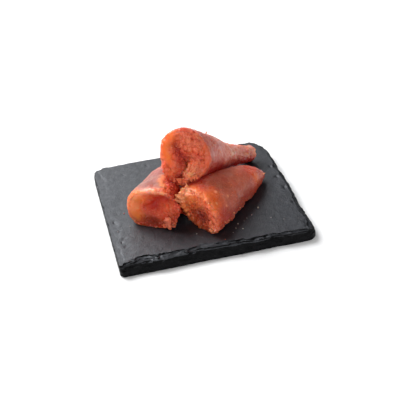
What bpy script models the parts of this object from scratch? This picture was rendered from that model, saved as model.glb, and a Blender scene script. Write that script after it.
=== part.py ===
"""Mentaiko on a slate board.

Three torn half sacs of salted cod roe lie in a small pyramid on a square
board of split slate: one on the left, one on the right, and one across the
top of them whose tail comes down to the board behind.

Frame: metres, +Z up. The origin is the middle of the board's underside, the
board's sides lie along X and Y, and its front edge is at -Y.
"""
import math

import bmesh
import bpy
import numpy as np
from mathutils import Vector
from mathutils.bvhtree import BVHTree

MM = 0.001

# ----------------------------------------------------------------------------
# Driving dimensions (millimetres and degrees)
# ----------------------------------------------------------------------------
BOARD_SIDE = 101.5          # square slate coaster, over the high points of its edge
BOARD_THICK = 6.5           # at the middle
BOARD_POINTS = 128          # points round the outline
CORNER_CUT = {"front_left": 3.0, "front_right": 6.0,
              "back_right": 13.0, "back_left": 7.5}
UNDER_CHAMFER = 0.6         # the underside is this much smaller all round
EDGE_BEVEL = {"front": 3.3, "right": 3.6, "back": 0.5, "left": 1.4}
BEVEL_FROM = 0.2            # the edge stands upright up to this part of its height
EDGE_WAVE = 1.0             # how far the knapped edge wanders
STRATA = (0.0, 0.9, 2.7, 4.6, 6.5)      # heights of the split layers

REST_GAP = 0.3              # between a sac and the board
SAC_GAP = 0.5               # between two sacs

AROUND = 36                 # facets round a sac
ALONG = 17                  # facets along a sac
FACE_RINGS = 7              # rings on the torn face
NOSE_RINGS = 4              # rings on the closed tail

# Stations along a sac, from the torn face (0) to the tail (1).
STATIONS = (0.0, 0.3, 0.6, 0.85, 1.0)

# Each sac follows a curved middle line through three points. Its section is
# 2 x half_width across and 2 x half_height tall at each station.
# face_turn swings the torn face about Z (0 faces the board's front edge,
# negative towards its left edge), and face_lean tips it up.
SACS = {
    "mentaiko_left": dict(
        line=((-27.3, -20.4), (-18.9, 0.8), (-6.0, 24.5)), lift=None,
        half_width=(14.9, 13.3, 10.9, 7.6, 4.2),
        half_height=(11.4, 11.3, 9.6, 7.7, 5.6),
        face_turn=-34.0, face_lean=4.0, pinch=0.0, skew=0.12,
        rim_round=2.0, dome=-0.6, dome_power=2.5, nose=4.0, nose_power=2.0,
        lump=0.028, phase=0.4, rim_tear=0.5, tear_turn=40.0, fold=None),
    "mentaiko_right": dict(
        line=((-6.0, -27.8), (14.4, -9.6), (34.4, 3.4)), lift=None,
        half_width=(13.3, 12.6, 9.9, 6.7, 3.5),
        half_height=(11.0, 10.0, 8.5, 7.1, 4.5),
        face_turn=-61.0, face_lean=2.0, pinch=-0.03, skew=-0.24,
        rim_round=1.3, dome=1.6, dome_power=2.2, nose=5.0, nose_power=1.05,
        lump=0.024, phase=1.9, rim_tear=1.3, tear_turn=185.0, fold=None),
    "mentaiko_top": dict(
        line=((-7.2, -10.6), (12.6, 9.5), (37.0, 29.0)), lift=(37.9, 24.1, 11.1),
        half_width=(11.8, 10.2, 7.4, 5.2, 4.3),
        half_height=(14.9, 12.2, 7.9, 5.0, 4.4),
        face_turn=-15.0, face_lean=23.0, pinch=0.18, skew=-0.03,
        rim_round=2.2, dome=2.2, dome_power=3.0, nose=1.6, nose_power=3.2,
        lump=0.026, phase=3.1, rim_tear=0.7, tear_turn=265.0, fold=(0.60, 0.5)),
}

ROUND_POWER = 0.92          # a section a little fuller than an ellipse

COLOURS = {                 # base colour, roughness
    "slate_board": ((0.055, 0.056, 0.062, 1.0), 0.62),
    "mentaiko_left": ((0.62, 0.105, 0.045, 1.0), 0.33),
    "mentaiko_right": ((0.60, 0.120, 0.055, 1.0), 0.35),
    "mentaiko_top": ((0.64, 0.115, 0.050, 1.0), 0.33),
}


# ----------------------------------------------------------------------------
# Helpers
# ----------------------------------------------------------------------------
def ease(stations, values, x):
    """A smooth curve through the values at the stations."""
    stations = np.asarray(stations, float)
    values = np.asarray(values, float)
    x = np.clip(np.asarray(x, float), stations[0], stations[-1])
    i = np.clip(np.searchsorted(stations, x, side="right") - 1, 0, len(stations) - 2)
    slope = np.gradient(values, stations)
    h = stations[i + 1] - stations[i]
    t = (x - stations[i]) / h
    return ((2 * t**3 - 3 * t**2 + 1) * values[i] + (t**3 - 2 * t**2 + t) * h * slope[i]
            + (3 * t**2 - 2 * t**3) * values[i + 1] + (t**3 - t**2) * h * slope[i + 1])


def ripple(angle, seed, waves, fall=1.0):
    """A closed wandering curve of the given wave numbers, about -1 to 1."""
    rng = np.random.default_rng(seed)
    out = np.zeros_like(np.asarray(angle, float))
    total = 0.0
    for k in waves:
        size = rng.uniform(0.6, 1.0) / (k / waves[0]) ** fall
        out += size * np.sin(k * angle + rng.uniform(0, 2 * math.pi))
        total += size * size
    return out / math.sqrt(0.5 * total) * 0.55


def new_object(name, verts, faces, collection):
    mesh = bpy.data.meshes.new(name)
    mesh.from_pydata([tuple(v) for v in verts], [], faces)
    mesh.validate()
    bm = bmesh.new()
    bm.from_mesh(mesh)
    bmesh.ops.recalc_face_normals(bm, faces=bm.faces)
    bm.to_mesh(mesh)
    bm.free()
    mesh.shade_smooth()
    mesh.set_sharp_from_angle(angle=math.radians(40))
    obj = bpy.data.objects.new(name, mesh)
    collection.objects.link(obj)
    colour, rough = COLOURS[name]
    mat = bpy.data.materials.new(name + "_finish")
    mat.use_nodes = True
    bsdf = mat.node_tree.nodes["Principled BSDF"]
    bsdf.inputs["Base Color"].default_value = colour
    bsdf.inputs["Roughness"].default_value = rough
    bsdf.inputs["Metallic"].default_value = 0.0
    mat.diffuse_color = colour
    mesh.materials.append(mat)
    return obj


# ----------------------------------------------------------------------------
# The board: layered outlines, smaller towards the top, with a knapped edge
# ----------------------------------------------------------------------------
def board_outline():
    """Points and outward directions round a square with unlike corners, in mm.
    Starts at the front edge's left end and runs anticlockwise from above."""
    half = BOARD_SIDE / 2
    corners = [("front_right", 1, -1), ("back_right", 1, 1),
               ("back_left", -1, 1), ("front_left", -1, -1)]
    path = []
    for name, sx, sy in corners:
        r = CORNER_CUT[name]
        cx, cy = sx * (half - r), sy * (half - r)
        start = math.atan2(sy, sx) - math.pi / 4
        for k in range(9):
            a = start + k / 8 * math.pi / 2
            path.append((cx + r * math.cos(a), cy + r * math.sin(a), math.cos(a), math.sin(a)))
    path = np.array(path)
    closed = np.vstack([path, path[:1]])
    step = np.hypot(*(closed[1:, :2] - closed[:-1, :2]).T)
    run = np.concatenate([[0], np.cumsum(step)])
    want = np.linspace(0, run[-1], BOARD_POINTS, endpoint=False)
    out = np.stack([np.interp(want, run, closed[:, k]) for k in range(4)], axis=1)
    out[:, 2:] /= np.linalg.norm(out[:, 2:], axis=1, keepdims=True)
    return out


def edge_bevel(x, y, nx, ny):
    """How far the top outline stands in from the bottom one, in mm."""
    weight = {"front": max(-ny, 0) ** 2, "right": max(nx, 0) ** 2,
              "back": max(ny, 0) ** 2, "left": max(-nx, 0) ** 2}
    total = sum(weight.values())
    bevel = sum(EDGE_BEVEL[k] * w for k, w in weight.items()) / total
    # A long flake is gone from the front edge's left end, and the bevel is
    # narrow towards its right end.
    front = weight["front"] / total
    bevel += front * (1.8 * math.exp(-((x + 38) / 9) ** 2) + 1.2 * math.exp(-((x + 4) / 9) ** 2)
                      - 2.0 / (1 + math.exp(-(x - 26) / 6)))
    return bevel


def build_board(collection):
    line = board_outline()
    n = len(line)
    angle = np.linspace(0, 2 * math.pi, n, endpoint=False)
    bevel = np.array([edge_bevel(*p) for p in line])
    rows = []
    for level, z in enumerate(STRATA):
        t = z / BOARD_THICK
        inset = bevel * max((t - BEVEL_FROM) / (1 - BEVEL_FROM), 0) ** 1.1
        if level == 0:
            inset = inset + UNDER_CHAMFER
        wave = EDGE_WAVE * (0.25 + 0.75 * t)
        inset = inset + wave * (0.55 + 0.6 * ripple(angle, 11, (9, 13, 17, 23, 31), 0.35)
                                + 0.35 * ripple(angle, 20 + level, (19, 27, 37, 45), 0.3))
        inset = np.maximum(inset, 0.0)
        xy = line[:, :2] - line[:, 2:] * inset[:, None]
        rows.append(np.column_stack([xy, np.full(n, z)]))
    pts = np.array(rows)
    # True the whole outline up to the board's nominal square.
    for axis in (0, 1):
        low, high = pts[..., axis].min(), pts[..., axis].max()
        pts[..., axis] = (pts[..., axis] - (low + high) / 2) * BOARD_SIDE / (high - low)
    verts = (pts.reshape(-1, 3) * MM).tolist()
    faces = []
    for i in range(len(STRATA) - 1):
        for j in range(n):
            k = (j + 1) % n
            faces.append((i * n + j, i * n + k, (i + 1) * n + k, (i + 1) * n + j))
    faces.append(tuple(reversed(range(n))))
    top = (len(STRATA) - 1) * n
    faces.append(tuple(top + j for j in range(n)))
    return new_object("slate_board", verts, faces, collection)


# ----------------------------------------------------------------------------
# The roe sacs: a loft of unlike sections, torn open at one end
# ----------------------------------------------------------------------------
def middle_line(sac, u):
    """Point and direction of a sac's middle line, in mm."""
    p0, pm, p1 = sac["points"]
    u = np.asarray(u, float)[..., None]
    c = np.clip(u, 0, 1)
    point = 2 * (c - .5) * (c - 1) * p0 - 4 * c * (c - 1) * pm + 2 * c * (c - .5) * p1
    point = point + np.where(u < 0, (u - c) * (4 * pm - 3 * p0 - p1), 0)
    way = (4 * c - 3) * p0 + (4 - 8 * c) * pm + (4 * c - 1) * p1
    return point, way / np.linalg.norm(way, axis=-1, keepdims=True)


def skin(sac, u, theta, shrink=0.0):
    """Point of the sac's skin; theta 0 is its right side and 90 degrees its top."""
    point, way = middle_line(sac, u)
    a = ease(STATIONS, sac["half_width"], u) - shrink
    b = ease(STATIONS, sac["half_height"], u) - shrink
    side = np.cross(way, np.array([0, 0, 1.0]))
    side /= np.linalg.norm(side, axis=-1, keepdims=True)
    up = np.cross(side, way)
    c, s = np.cos(theta), np.sin(theta)
    across = np.sign(c) * np.abs(c) ** ROUND_POWER
    tall = np.sign(s) * np.abs(s) ** ROUND_POWER
    across = across * (1 - sac["pinch"] * np.clip(-tall, 0, 1) ** 1.3)
    ph = sac["phase"]
    lump = 1 + sac["lump"] * (np.sin(7.5 * u + 2 * theta + ph) + 0.7 * np.sin(13 * u - 3 * theta + 2.1 * ph)
                              + 0.5 * np.sin(21 * u + 4 * theta + 3.7 * ph))
    if sac["fold"]:
        where, deep = sac["fold"]
        lump = lump - deep / 10 * np.exp(-((u - where) / 0.03) ** 2) * np.clip(np.cos(theta - 1.0), 0, 1)
    x = a * (across + sac["skew"] * tall) * lump
    y = b * tall * lump
    return point + x[..., None] * side + y[..., None] * up


def face_relief(name, px, py):
    """How far the torn face stands proud at a point of its plane, in mm.
    px runs to the right across the face and py up it, both about -1 to 1."""
    if name == "mentaiko_top":
        crease = np.exp(-((py + 0.25 - 0.75 * px) / 0.26) ** 2) * np.clip(1.15 - np.hypot(px + 0.1, py + 0.2), 0, 1)
        lobe = np.exp(-((px - 0.25) ** 2 + (py + 0.62) ** 2) / 0.16)
        return -1.8 * crease + 1.1 * lobe
    if name == "mentaiko_left":
        hollow = np.exp(-((px - 0.05) ** 2 + (py - 0.05) ** 2) / 0.22)
        cheek = np.exp(-((px + 0.75) ** 2 + (py - 0.0) ** 2) / 0.12)
        hang = np.exp(-((px - 0.55) ** 2 + (py + 0.75) ** 2) / 0.06)
        return -0.9 * hollow + 0.9 * cheek + 0.7 * hang
    groove = np.cos(7.0 * px + 1.0) * np.clip(-py - 0.1, 0, 1)
    brow = np.exp(-((px + 0.35) ** 2 + (py - 0.45) ** 2) / 0.18)
    lip = np.exp(-((px - 0.72) ** 2 + (py + 0.45) ** 2) / 0.08)
    return 0.6 * groove + 1.2 * brow + 0.8 * lip


def build_sac(name):
    sac = dict(SACS[name])
    floor = BOARD_THICK + REST_GAP
    heights = sac["lift"]
    if heights is None:     # it lies on the board, a little flattened
        heights = BOARD_THICK + 0.86 * ease(STATIONS, sac["half_height"], np.array([0, .5, 1]))
    sac["points"] = [np.array([x, y, z]) for (x, y), z in zip(sac["line"], heights)]
    turn, lean = math.radians(sac["face_turn"]), math.radians(sac["face_lean"])
    normal = np.array([math.sin(turn) * math.cos(lean), -math.cos(turn) * math.cos(lean), math.sin(lean)])

    theta = np.linspace(0, 2 * math.pi, AROUND, endpoint=False)
    # Where each line along the skin meets the torn face.
    probe = np.linspace(-0.45, 0.7, 461)
    grid = skin(sac, probe[:, None] * np.ones(AROUND), np.ones((len(probe), 1)) * theta)
    depth = (grid - sac["points"][0]) @ normal
    ragged = sac["rim_tear"] * (0.35 + np.clip(np.cos(theta - math.radians(sac["tear_turn"])), 0, 1)) \
        * ripple(theta, 5 + int(10 * sac["phase"]), (3, 5, 8, 11), 0.2)
    depth = depth - ragged
    first = np.clip(np.argmax(depth < 0, axis=0), 1, len(probe) - 1)
    cols = np.arange(AROUND)
    d0, d1 = depth[first - 1, cols], depth[first, cols]
    start = probe[first - 1] + (probe[first] - probe[first - 1]) * np.clip(d0 / (d0 - d1), 0, 1)

    length = np.linalg.norm(sac["points"][2] - sac["points"][0])
    rr = sac["rim_round"]
    rows = []
    reach = np.linspace(0, 1, ALONG + 1) ** 1.25
    for w in reach:
        u = start + (1 - start) * w
        along = (u - start) * length
        t = np.clip(1 - along / rr, 0, 1)
        rows.append(skin(sac, u, theta, shrink=rr * 0.8 * (1 - np.sqrt(1 - t * t))))
    tip, way = middle_line(sac, np.array(1.0))
    last = rows[-1] - tip
    for k in range(1, NOSE_RINGS + 1):
        f = math.sin(k / (NOSE_RINGS + 1) * math.pi / 2)
        rows.append(tip + way * sac["nose"] * f + last * (1 - f ** sac["nose_power"]) ** (1 / max(sac["nose_power"], 1.5)))
    pole = tip + way * sac["nose"]
    rows = [np.column_stack([r[:, 0], r[:, 1], np.maximum(r[:, 2], floor)]) for r in rows]

    # The torn face: rings from the rim to its middle, domed or hollow, with
    # the creases and lumps of the roe.
    rim = rows[0]
    centre = rim.mean(axis=0)
    right = np.cross(np.array([0, 0, 1.0]), normal)
    right /= np.linalg.norm(right)
    upward = np.cross(normal, right)
    half_w = np.abs((rim - centre) @ right).max()
    half_h = np.abs((rim - centre) @ upward).max()

    def on_face(p, f):
        rel = p - centre
        px, py = rel @ right / half_w, rel @ upward / half_h
        fade = np.clip((1 - f) / 0.3, 0, 1) ** 0.7
        return p + np.outer(sac["dome"] * (1 - f ** sac["dome_power"])
                            + fade * face_relief(name, px, py), normal)

    face_rows = []
    for k in range(1, FACE_RINGS + 1):
        f = 1 - (k / (FACE_RINGS + 1)) ** 1.15
        face_rows.append(on_face(centre + (rim - centre) * f, f))
    hub = on_face(centre[None, :], 0.0)[0]

    table = list(reversed(face_rows)) + rows
    verts = [v for row in table for v in row]
    verts = np.array(verts + [hub, pole])
    verts[:, 2] = np.maximum(verts[:, 2], floor)
    n, m = AROUND, len(table)
    faces = []
    for i in range(m - 1):
        for j in range(n):
            k = (j + 1) % n
            faces.append((i * n + j, i * n + k, (i + 1) * n + k, (i + 1) * n + j))
    for j in range(n):
        k = (j + 1) % n
        faces.append((m * n, k, j))
        faces.append((m * n + 1, (m - 1) * n + j, (m - 1) * n + k))

    # Every point's anchor on the middle line, towards which it gives way.
    face_core = middle_line(sac, np.array(0.14))[0]
    cores = [face_core] * (len(face_rows) * n)
    for w in reach:
        u = np.clip(start + (1 - start) * w, 0.14, 0.95)
        cores.extend(middle_line(sac, u)[0])
    tail_core = middle_line(sac, np.array(0.95))[0]
    cores.extend([tail_core] * (NOSE_RINGS * n) + [face_core, tail_core])
    return {"verts": verts, "faces": faces, "core": np.array(cores)}


def press_clear(shape, other, gap):
    """Pull points that lie in a neighbour, or nearly touch it, back towards the
    sac's own middle line until they stand clear of its skin by the gap."""
    tree = BVHTree.FromPolygons([Vector(v) for v in other["verts"]], other["faces"])
    verts = shape["verts"]
    for i, (v, core) in enumerate(zip(verts, shape["core"])):
        ray = Vector(v - core)
        length = ray.length
        ray /= length
        hit, _normal, _face, dist = tree.ray_cast(Vector(core), ray, length + gap)
        if hit is not None:
            length = max(min(length, dist - gap), 0.2 * length)
        for _ in range(40):
            _hit, _normal, _face, dist = tree.find_nearest(Vector(core) + ray * length)
            if dist >= gap - 1e-4 or length < 0.5:
                break
            length -= max(gap - dist, 0.02)
        verts[i] = core + np.array(ray) * length


def settle(shapes):
    """Soft roe gives way where the sacs lean on each other: the left one most,
    the right one least."""
    order = ["mentaiko_right", "mentaiko_top", "mentaiko_left"]
    for i, soft in enumerate(order):
        for firm in order[:i]:
            press_clear(shapes[soft], shapes[firm], SAC_GAP)
    for _ in range(2):
        for i, firm in enumerate(order):
            for soft in order[i + 1:]:
                press_clear(shapes[firm], shapes[soft], 0.8 * SAC_GAP)


def main():
    for obj in list(bpy.data.objects):
        bpy.data.objects.remove(obj, do_unlink=True)
    collection = bpy.data.collections.new("mentaiko")
    bpy.context.scene.collection.children.link(collection)
    build_board(collection)
    shapes = {name: build_sac(name) for name in SACS}
    settle(shapes)
    for name, shape in shapes.items():
        new_object(name, (shape["verts"] * MM).tolist(), shape["faces"], collection)


main()
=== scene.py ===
import math

import bpy
import bmesh
import numpy as np
from mathutils import Matrix, Vector
from mathutils.bvhtree import BVHTree


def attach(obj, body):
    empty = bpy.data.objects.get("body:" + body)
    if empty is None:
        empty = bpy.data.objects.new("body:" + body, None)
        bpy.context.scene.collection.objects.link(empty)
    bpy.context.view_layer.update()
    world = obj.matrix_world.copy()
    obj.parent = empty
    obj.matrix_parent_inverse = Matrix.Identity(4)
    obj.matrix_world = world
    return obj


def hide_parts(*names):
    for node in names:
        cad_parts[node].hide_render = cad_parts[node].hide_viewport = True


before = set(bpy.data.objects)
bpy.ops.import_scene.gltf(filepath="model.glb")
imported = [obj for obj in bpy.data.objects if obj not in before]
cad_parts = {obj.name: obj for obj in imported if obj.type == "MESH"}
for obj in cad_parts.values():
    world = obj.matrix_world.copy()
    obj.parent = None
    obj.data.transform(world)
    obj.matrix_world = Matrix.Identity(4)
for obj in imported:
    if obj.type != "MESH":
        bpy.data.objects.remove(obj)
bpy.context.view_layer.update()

# Mentaiko on a slate board: the finish of every surface.
# All shapes are worked out in millimetres, in the same frame as the CAD.

MM = 0.001
TAU = 2 * math.pi

# ----------------------------------------------------------------------------
# Sizes shared with the CAD (mm, degrees)
# ----------------------------------------------------------------------------
BOARD_SIDE = 101.5
BOARD_THICK = 6.5
CORNER_CUT = {"front_left": 3.0, "front_right": 6.0, "back_right": 13.0, "back_left": 7.5}
UNDER_CHAMFER = 0.6
EDGE_BEVEL = {"front": 3.3, "right": 3.6, "back": 0.5, "left": 1.4}
BEVEL_FROM = 0.2
EDGE_WAVE = 1.0
STRATA = (0.0, 0.9, 2.7, 4.6, 6.5)
STATIONS = (0.0, 0.3, 0.6, 0.85, 1.0)
ROUND_POWER = 0.92
SACS = {
    "mentaiko_right": dict(
        line=((-6.0, -27.8), (14.4, -9.6), (34.4, 3.4)), lift=None,
        half_width=(13.3, 12.6, 9.9, 6.7, 3.5),
        half_height=(11.0, 10.0, 8.5, 7.1, 4.5),
        face_turn=-61.0, face_lean=2.0, pinch=-0.03, skew=-0.24,
        rim_round=1.3, dome=1.6, dome_power=2.2, nose=5.0, nose_power=1.05,
        lump=0.024, phase=1.9, rim_tear=1.3, tear_turn=185.0, fold=None),
    "mentaiko_top": dict(
        line=((-7.2, -10.6), (12.6, 9.5), (37.0, 29.0)), lift=(37.9, 24.1, 11.1),
        half_width=(11.8, 10.2, 7.4, 5.2, 4.3),
        half_height=(14.9, 12.2, 7.9, 5.0, 4.4),
        face_turn=-15.0, face_lean=23.0, pinch=0.18, skew=-0.03,
        rim_round=2.2, dome=2.2, dome_power=3.0, nose=1.6, nose_power=3.2,
        lump=0.026, phase=3.1, rim_tear=0.7, tear_turn=265.0, fold=(0.60, 0.5)),
    "mentaiko_left": dict(
        line=((-27.3, -20.4), (-18.9, 0.8), (-6.0, 24.5)), lift=None,
        half_width=(14.9, 13.3, 10.9, 7.6, 4.2),
        half_height=(11.4, 11.3, 9.6, 7.7, 5.6),
        face_turn=-34.0, face_lean=4.0, pinch=0.0, skew=0.12,
        rim_round=2.0, dome=-0.6, dome_power=2.5, nose=4.0, nose_power=2.0,
        lump=0.028, phase=0.4, rim_tear=0.5, tear_turn=40.0, fold=None),
}
FLOOR_GAP = 0.02            # the sacs rest on the slate

AROUND = 296
ALONG = 176
FACE_RINGS = 92
NOSE_RINGS = 20
EDGE_POINTS = 760

EGG = 0.92                  # distance between eggs


# ----------------------------------------------------------------------------
# Noise
# ----------------------------------------------------------------------------
def lattice(ix, iy, iz, seed, k=0):
    h = (ix * 374761393 + iy * 668265263 + iz * 1440662683 + seed * 974634777 + k * 362437) & 0xFFFFFFFF
    h = ((h ^ (h >> 13)) * 1274126177) & 0xFFFFFFFF
    h = ((h ^ (h >> 15)) * 1103515245) & 0xFFFFFFFF
    return (h ^ (h >> 16)) / 4294967296.0


def vnoise(p, seed):
    """Smooth lattice noise at points p, about 0 to 1."""
    p = np.asarray(p, float)
    base = np.floor(p).astype(np.int64)
    f = p - base
    f = f * f * f * (f * (f * 6 - 15) + 10)
    out = np.zeros(len(p))
    for dx in (0, 1):
        wx = f[:, 0] if dx else 1 - f[:, 0]
        for dy in (0, 1):
            wy = f[:, 1] if dy else 1 - f[:, 1]
            for dz in (0, 1):
                wz = f[:, 2] if dz else 1 - f[:, 2]
                out += wx * wy * wz * lattice(base[:, 0] + dx, base[:, 1] + dy, base[:, 2] + dz, seed)
    return out


def fbm(p, size, seed, octaves=4, gain=0.5):
    """Layered noise whose largest feature is about size mm; about -1 to 1."""
    out = np.zeros(len(p))
    amp, total = 1.0, 0.0
    q = np.asarray(p, float) / size
    for k in range(octaves):
        out += amp * (2 * vnoise(q * 2 ** k + 17.3 * k, seed + k) - 1)
        total += amp
        amp *= gain
    return out / total * 1.6


def cells(p, size, seed, jitter=0.85):
    """Cell noise: distance to the nearest and second point in cell units, the
    nearest point's own random number, and its place."""
    q = np.asarray(p, float) / size
    base = np.floor(q).astype(np.int64)
    f1 = np.full(len(q), 9.0)
    f2 = np.full(len(q), 9.0)
    own = np.zeros(len(q))
    place = np.zeros((len(q), 3))
    for dx in (-1, 0, 1):
        for dy in (-1, 0, 1):
            for dz in (-1, 0, 1):
                c = base + (dx, dy, dz)
                r = np.stack([lattice(c[:, 0], c[:, 1], c[:, 2], seed, k) for k in (1, 2, 3)], axis=1)
                pt = c + 0.5 + (r - 0.5) * jitter
                d = np.linalg.norm(q - pt, axis=1)
                near = d < f1
                f2 = np.where(near, f1, np.minimum(f2, d))
                f1 = np.where(near, d, f1)
                own = np.where(near, lattice(c[:, 0], c[:, 1], c[:, 2], seed, 7), own)
                place[near] = pt[near]
    return f1, f2, own, place * size


def bell(x, width):
    return np.exp(-(x / width) ** 2)


def ramp(x, a, b):
    """0 at a, 1 at b, smooth between."""
    t = np.clip((x - a) / (b - a), 0, 1)
    return t * t * (3 - 2 * t)


def to_line(px, py, pts):
    """Distance of points from a broken line."""
    best = np.full(len(px), 1e9)
    for (x0, y0), (x1, y1) in zip(pts[:-1], pts[1:]):
        dx, dy = x1 - x0, y1 - y0
        t = np.clip(((px - x0) * dx + (py - y0) * dy) / (dx * dx + dy * dy), 0, 1)
        best = np.minimum(best, np.hypot(px - x0 - t * dx, py - y0 - t * dy))
    return best


def side_of(px, py, pts):
    """Signed distance from a broken line: positive on its left-hand side."""
    best = np.full(len(px), 1e9)
    sign = np.ones(len(px))
    for (x0, y0), (x1, y1) in zip(pts[:-1], pts[1:]):
        dx, dy = x1 - x0, y1 - y0
        t = np.clip(((px - x0) * dx + (py - y0) * dy) / (dx * dx + dy * dy), 0, 1)
        d = np.hypot(px - x0 - t * dx, py - y0 - t * dy)
        near = d < best - 1e-9
        sign = np.where(near, np.sign(dx * (py - y0) - dy * (px - x0)), sign)
        best = np.where(near, d, best)
    return best * sign


def spot(p, *places):
    """Sum of soft round spots: each is x, y, z, radius, amount."""
    out = np.zeros(len(p))
    for x, y, z, r, amount in places:
        out = np.maximum(out, amount * bell(np.linalg.norm(p - (x, y, z), axis=1), r))
    return out


def ease(stations, values, x):
    stations = np.asarray(stations, float)
    values = np.asarray(values, float)
    x = np.clip(np.asarray(x, float), stations[0], stations[-1])
    i = np.clip(np.searchsorted(stations, x, side="right") - 1, 0, len(stations) - 2)
    slope = np.gradient(values, stations)
    h = stations[i + 1] - stations[i]
    t = (x - stations[i]) / h
    return ((2 * t**3 - 3 * t**2 + 1) * values[i] + (t**3 - 2 * t**2 + t) * h * slope[i]
            + (3 * t**2 - 2 * t**3) * values[i + 1] + (t**3 - t**2) * h * slope[i + 1])


def ripple(angle, seed, waves, fall=1.0):
    rng = np.random.default_rng(seed)
    out = np.zeros_like(np.asarray(angle, float))
    total = 0.0
    for k in waves:
        size = rng.uniform(0.6, 1.0) / (k / waves[0]) ** fall
        out += size * np.sin(k * angle + rng.uniform(0, 2 * math.pi))
        total += size * size
    return out / math.sqrt(0.5 * total) * 0.55


# ----------------------------------------------------------------------------
# Mesh helpers
# ----------------------------------------------------------------------------
def grid_faces(rows, cols, first_pole=None, last_pole=None):
    """Quads of a tube of rows x cols points, closed round, with optional poles."""
    i = np.arange(rows - 1)[:, None]
    j = np.arange(cols)[None, :]
    k = (j + 1) % cols
    quads = np.stack([i * cols + j, (i + 1) * cols + j, (i + 1) * cols + k, i * cols + k], axis=-1).reshape(-1, 4)
    tris = []
    jj = np.arange(cols)
    kk = (jj + 1) % cols
    if first_pole is not None:
        tris.append(np.stack([np.full(cols, first_pole), jj, kk], axis=1))
    if last_pole is not None:
        tris.append(np.stack([np.full(cols, last_pole), (rows - 1) * cols + kk, (rows - 1) * cols + jj], axis=1))
    return quads, (np.concatenate(tris) if tris else np.zeros((0, 3), int))


def faces_out(verts, quads, tris):
    """Turns the faces to point outwards if they don't."""
    t = np.concatenate([quads[:, [0, 1, 2]], quads[:, [0, 2, 3]], tris]) if len(tris) else np.concatenate([quads[:, [0, 1, 2]], quads[:, [0, 2, 3]]])
    a, b, c = verts[t[:, 0]], verts[t[:, 1]], verts[t[:, 2]]
    volume = np.einsum("ij,ij->i", a, np.cross(b, c)).sum() / 6
    if volume < 0:
        return quads[:, ::-1].copy(), tris[:, ::-1].copy()
    return quads, tris


def point_normals(verts, quads, tris):
    n = np.zeros_like(verts)
    a = np.cross(verts[quads[:, 2]] - verts[quads[:, 0]], verts[quads[:, 3]] - verts[quads[:, 1]])
    for c in range(4):
        np.add.at(n, quads[:, c], a)
    if len(tris):
        b = np.cross(verts[tris[:, 1]] - verts[tris[:, 0]], verts[tris[:, 2]] - verts[tris[:, 0]])
        for c in range(3):
            np.add.at(n, tris[:, c], b)
    return n / np.maximum(np.linalg.norm(n, axis=1, keepdims=True), 1e-12)


def make_object(name, verts, quads, tris, material, masks=None, smooth=True):
    """verts in mm. masks is {attribute: (N, 4) array}."""
    mesh = bpy.data.meshes.new(name)
    nq, nt = len(quads), len(tris)
    mesh.vertices.add(len(verts))
    mesh.vertices.foreach_set("co", (np.asarray(verts, np.float64) * MM).astype(np.float32).ravel())
    mesh.loops.add(nq * 4 + nt * 3)
    mesh.loops.foreach_set("vertex_index", np.concatenate([np.asarray(quads, np.int32).ravel(), np.asarray(tris, np.int32).ravel()]).astype(np.int32))
    mesh.polygons.add(nq + nt)
    starts = np.concatenate([np.arange(nq) * 4, nq * 4 + np.arange(nt) * 3]).astype(np.int32)
    mesh.polygons.foreach_set("loop_start", starts)
    mesh.update(calc_edges=True)
    mesh.validate()
    for key, data in (masks or {}).items():
        att = mesh.color_attributes.new(key, "FLOAT_COLOR", "POINT")
        att.data.foreach_set("color", np.clip(data, 0, 1).astype(np.float32).ravel())
    if smooth:
        mesh.shade_smooth()
    obj = bpy.data.objects.new(name, mesh)
    bpy.context.scene.collection.objects.link(obj)
    mesh.materials.append(material)
    return obj


def ball_mesh(level):
    bm = bmesh.new()
    bmesh.ops.create_icosphere(bm, subdivisions=level, radius=1.0)
    bm.verts.ensure_lookup_table()
    v = np.array([x.co[:] for x in bm.verts])
    f = np.array([[x.index for x in face.verts] for face in bm.faces])
    bm.free()
    return v, f


def scatter_balls(name, places, radii, squash, turn_seed, material, shade, level=2):
    """Many small eggs in one mesh. shade is one random number for each egg."""
    bv, bf = ball_mesh(level)
    rng = np.random.default_rng(turn_seed)
    n = len(places)
    verts = np.empty((n, len(bv), 3))
    for i in range(n):
        ax = rng.normal(size=3)
        ax /= np.linalg.norm(ax)
        stretch = 1 + (squash[i]) * np.abs(bv @ ax)[:, None] ** 2
        verts[i] = places[i] + bv * stretch * radii[i]
    faces = (bf[None] + (np.arange(n) * len(bv))[:, None, None]).reshape(-1, 3)
    col = np.repeat(np.asarray(shade)[:, None], len(bv), axis=1).ravel()
    mask = np.stack([col, np.repeat(rng.random(n)[:, None], len(bv), axis=1).ravel(), np.zeros_like(col), np.ones_like(col)], axis=1)
    return make_object(name, verts.reshape(-1, 3), np.zeros((0, 4), int), faces, material, {"egg": mask})


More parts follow.
